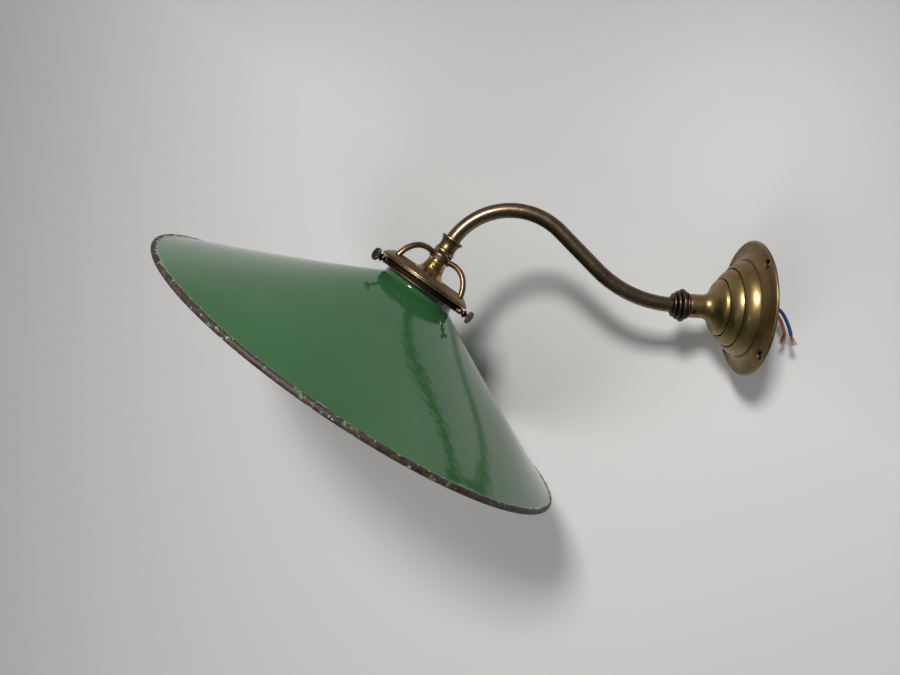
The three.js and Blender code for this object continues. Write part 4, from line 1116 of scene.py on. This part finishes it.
# The cut edges of the slots are bright.
mark_wear_and_shade(barrel, HEAD_FRAME, barrel_profile, edge_wear(barrel_profile), elsewhere=0.6, reach=0.4)
finish_piece(barrel, "arm", polished_brass, "holder_barrel")

# %% Holder ring, insert and contacts
RING_HEIGHT, RING_WALL, RING_FLANGE = 6.0, 1.8, 2.2
ring_bore = barrel_radius + FIT
ring_top = -flange_top - 7.0
ring_edge = ring_bore + RING_WALL + RING_FLANGE
ring_foot = ring_top - RING_HEIGHT
ring_outline = [
    (ring_bore, ring_top), (ring_bore + RING_WALL, ring_top), (ring_bore + RING_WALL, ring_foot + 2.4),
    (ring_edge, ring_foot + 2), (ring_edge, ring_foot + 0.4), (ring_edge - 0.4, ring_foot),
    (ring_bore, ring_foot),
]
ring_profile = divided(softened(ring_outline, 0.25), 0.6)
ring_grid = knurled(ring_profile, teeth=60, depth=0.25, columns=480, limit=ring_edge - 0.5)
ring = piece_from_grids("shade_ring_milled", [placed(ring_grid, HEAD_FRAME)])
mark_wear_and_shade(ring, HEAD_FRAME, ring_profile, edge_wear(ring_profile))
finish_piece(ring, "holder_ring", polished_brass, "holder_ring")

INSERT_HEIGHT, BRIDGE_RADIUS, BRIDGE_HEIGHT = 10.0, 8.6, 5.4
insert_radius = BARREL_BORE - FIT
insert_top = flange_top - BARREL_UPSTAND
insert_foot = insert_top + INSERT_HEIGHT
bridge_top = insert_top - BRIDGE_HEIGHT
insert, _ = turned_piece("porcelain_insert", [
    (0, -insert_foot), (insert_radius - 0.5, -insert_foot), (insert_radius, -insert_foot + 0.5),
    (insert_radius, -insert_top), (BRIDGE_RADIUS, -insert_top), (BRIDGE_RADIUS, -bridge_top),
    (0, -bridge_top)], HEAD_FRAME, soft=0.5, longest=1.5, columns=96, closed=False)
CONTACT_SPACING, CONTACT_BORE, PLUNGER_RADIUS, PLUNGER_LENGTH = 4.2, 2.5, 2.1, 12.0
cut(insert, [rod(at_head(x, -insert_foot - 1, 0), at_head(x, 1 - bridge_top, 0), CONTACT_BORE)
             for x in (CONTACT_SPACING, -CONTACT_SPACING)])
finish_piece(insert, "arm", porcelain, "holder_insert")

plunger_foot = insert_foot + 4.2
plunger_top = plunger_foot - PLUNGER_LENGTH
for number, side in ((1, 1), (2, -1)):
    plunger_outline = np.vstack((
        [(0, -plunger_foot)],
        arc(PLUNGER_RADIUS - 0.8, 0.8 - plunger_foot, 0.8, -90, 0, 8),
        [(PLUNGER_RADIUS, -plunger_top), (0, -plunger_top)],
    ))
    shifted = (at_head(side * CONTACT_SPACING, 0, 0), HEAD_FRAME[1])
    plunger, _ = turned_piece(f"plunger_{number}", plunger_outline, shifted, soft=0.15, longest=0.8,
                              columns=48, closed=False)
    finish_piece(plunger, f"contact_plunger_{number}", polished_brass,
                 f"contact_plunger_{number}")

# %% [markdown]
# ## Hidden pieces
#
# The nipple, washer, springs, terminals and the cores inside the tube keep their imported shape,
# because nothing but a screwdriver ever sees them. They only get a real finish.

# %% Finishes for the pieces kept as they are
KEPT = {
    "holder_nipple": rose_brass, "arm_washer": steel,
    "contact_spring_1": steel, "contact_spring_2": steel,
    "terminal_screw_1": steel, "terminal_screw_2": steel,
    "terminal_post_1": polished_brass, "terminal_post_2": polished_brass,
    "arm_wire_blue": blue_core, "arm_wire_brown": brown_core,
}
for node, material in KEPT.items():
    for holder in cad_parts[node].material_slots:
        holder.link = "OBJECT"
        holder.material = material
print("kept as packed:", ", ".join(KEPT))

# %% [markdown]
# ## The studio
#
# The light lies on a pale sheet. It rests on the rose's flange and on the shade's rim, so the
# sheet leans away from the tube's plane by 25 degrees, and its colour is painted a darker grey
# towards its upper right, as painted shade where the lamp's light falls off.
# A small soft lamp stands behind the camera, above it and to its left. A wide weak one lifts the
# lower left of the sheet and isn't mirrored in anything. The room glows more from the upper left.
# The sheet is clear from behind, so that the light can be looked at from that side as well.

# %% Sheet, lamps and world
REST_SLOPE, SHEET_REACH = 0.47, 4.0
rest_point = np.array([-0.0452, 0.0, 0.0])
upright = np.array([0.0, 0.0, SHEET_REACH])
sideways = SHEET_REACH * np.array([REST_SLOPE, 1.0, 0.0]) / math.hypot(1, REST_SLOPE)
corners = [rest_point + a * sideways + b * upright
           for a, b in ((-1, -1), (1, -1), (1, 1), (-1, 1))]
sheet_mesh = bpy.data.meshes.new("pale_sheet")
sheet_mesh.from_pydata(corners, [], [(0, 1, 2, 3)])
sheet = link("pale_sheet", sheet_mesh)
sheet_material, tree, output = new_material("pale_matt_sheet")
spot = add(tree, "TexCoord").outputs["Object"]
rightwards_up = add(tree, "VectorMath", {0: spot, 1: (0.0, 1.0, 1.6)}, operation="DOT_PRODUCT")
# The colour is painted a darker grey towards the upper right: painted shade of the lamp's falloff.
painted_falloff = ramp(tree, rightwards_up.outputs["Value"], -0.05, 0.45)
surface = add(tree, "BsdfPrincipled", {
    "Base Color": blend_colours(tree, painted_falloff, "#c9c8c6", "#909090"), "Roughness": 0.5,
})
behind = add(tree, "NewGeometry").outputs["Backfacing"]
clear = add(tree, "BsdfTransparent")
shown = add(tree, "MixShader", {0: behind, 1: surface.outputs[0], 2: clear.outputs[0]})
tree.links.new(shown.outputs[0], output.inputs[0])
sheet_mesh.materials.append(sheet_material)


def soft_lamp(name, place, aim, size, watts):
    """A square white area lamp at a place in metres, turned to face a point."""
    data = bpy.data.lights.new(name, "AREA")
    data.size, data.energy = size, watts
    lamp = bpy.data.objects.new(name, data)
    gaze = (Vector(aim) - Vector(place)).to_track_quat("-Z", "Y")
    lamp.matrix_world = Matrix.Translation(place) @ gaze.to_matrix().to_4x4()
    bpy.context.scene.collection.objects.link(lamp)
    return lamp


key = soft_lamp("key", place=(0.8, -0.37, 0.4), aim=(-0.1, -0.15, 0.0), size=0.15, watts=8.4)
bounce = soft_lamp("bounce", place=(0.7, -0.9, -0.8), aim=(-0.15, -0.4, -0.1), size=0.9, watts=6.2)
bounce.visible_glossy = False
print("lamps:", key.name, "and", bounce.name)
world = bpy.data.worlds.new("room")
world.use_nodes = True
room = world.node_tree
way = add(room, "TexCoord").outputs["Generated"]
towards = add(room, "VectorMath", {0: way, 1: (-0.45, -0.5, 0.75)}, operation="DOT_PRODUCT")
glow = ramp(room, towards.outputs["Value"], -0.7, 0.8, 0.2, 0.6)
room.links.new(glow, room.nodes["Background"].inputs["Strength"])
room.nodes["Background"].inputs["Color"].default_value = linear("#c6c6c8")
bpy.context.scene.world = world
bpy.context.scene.view_settings.view_transform = "Standard"
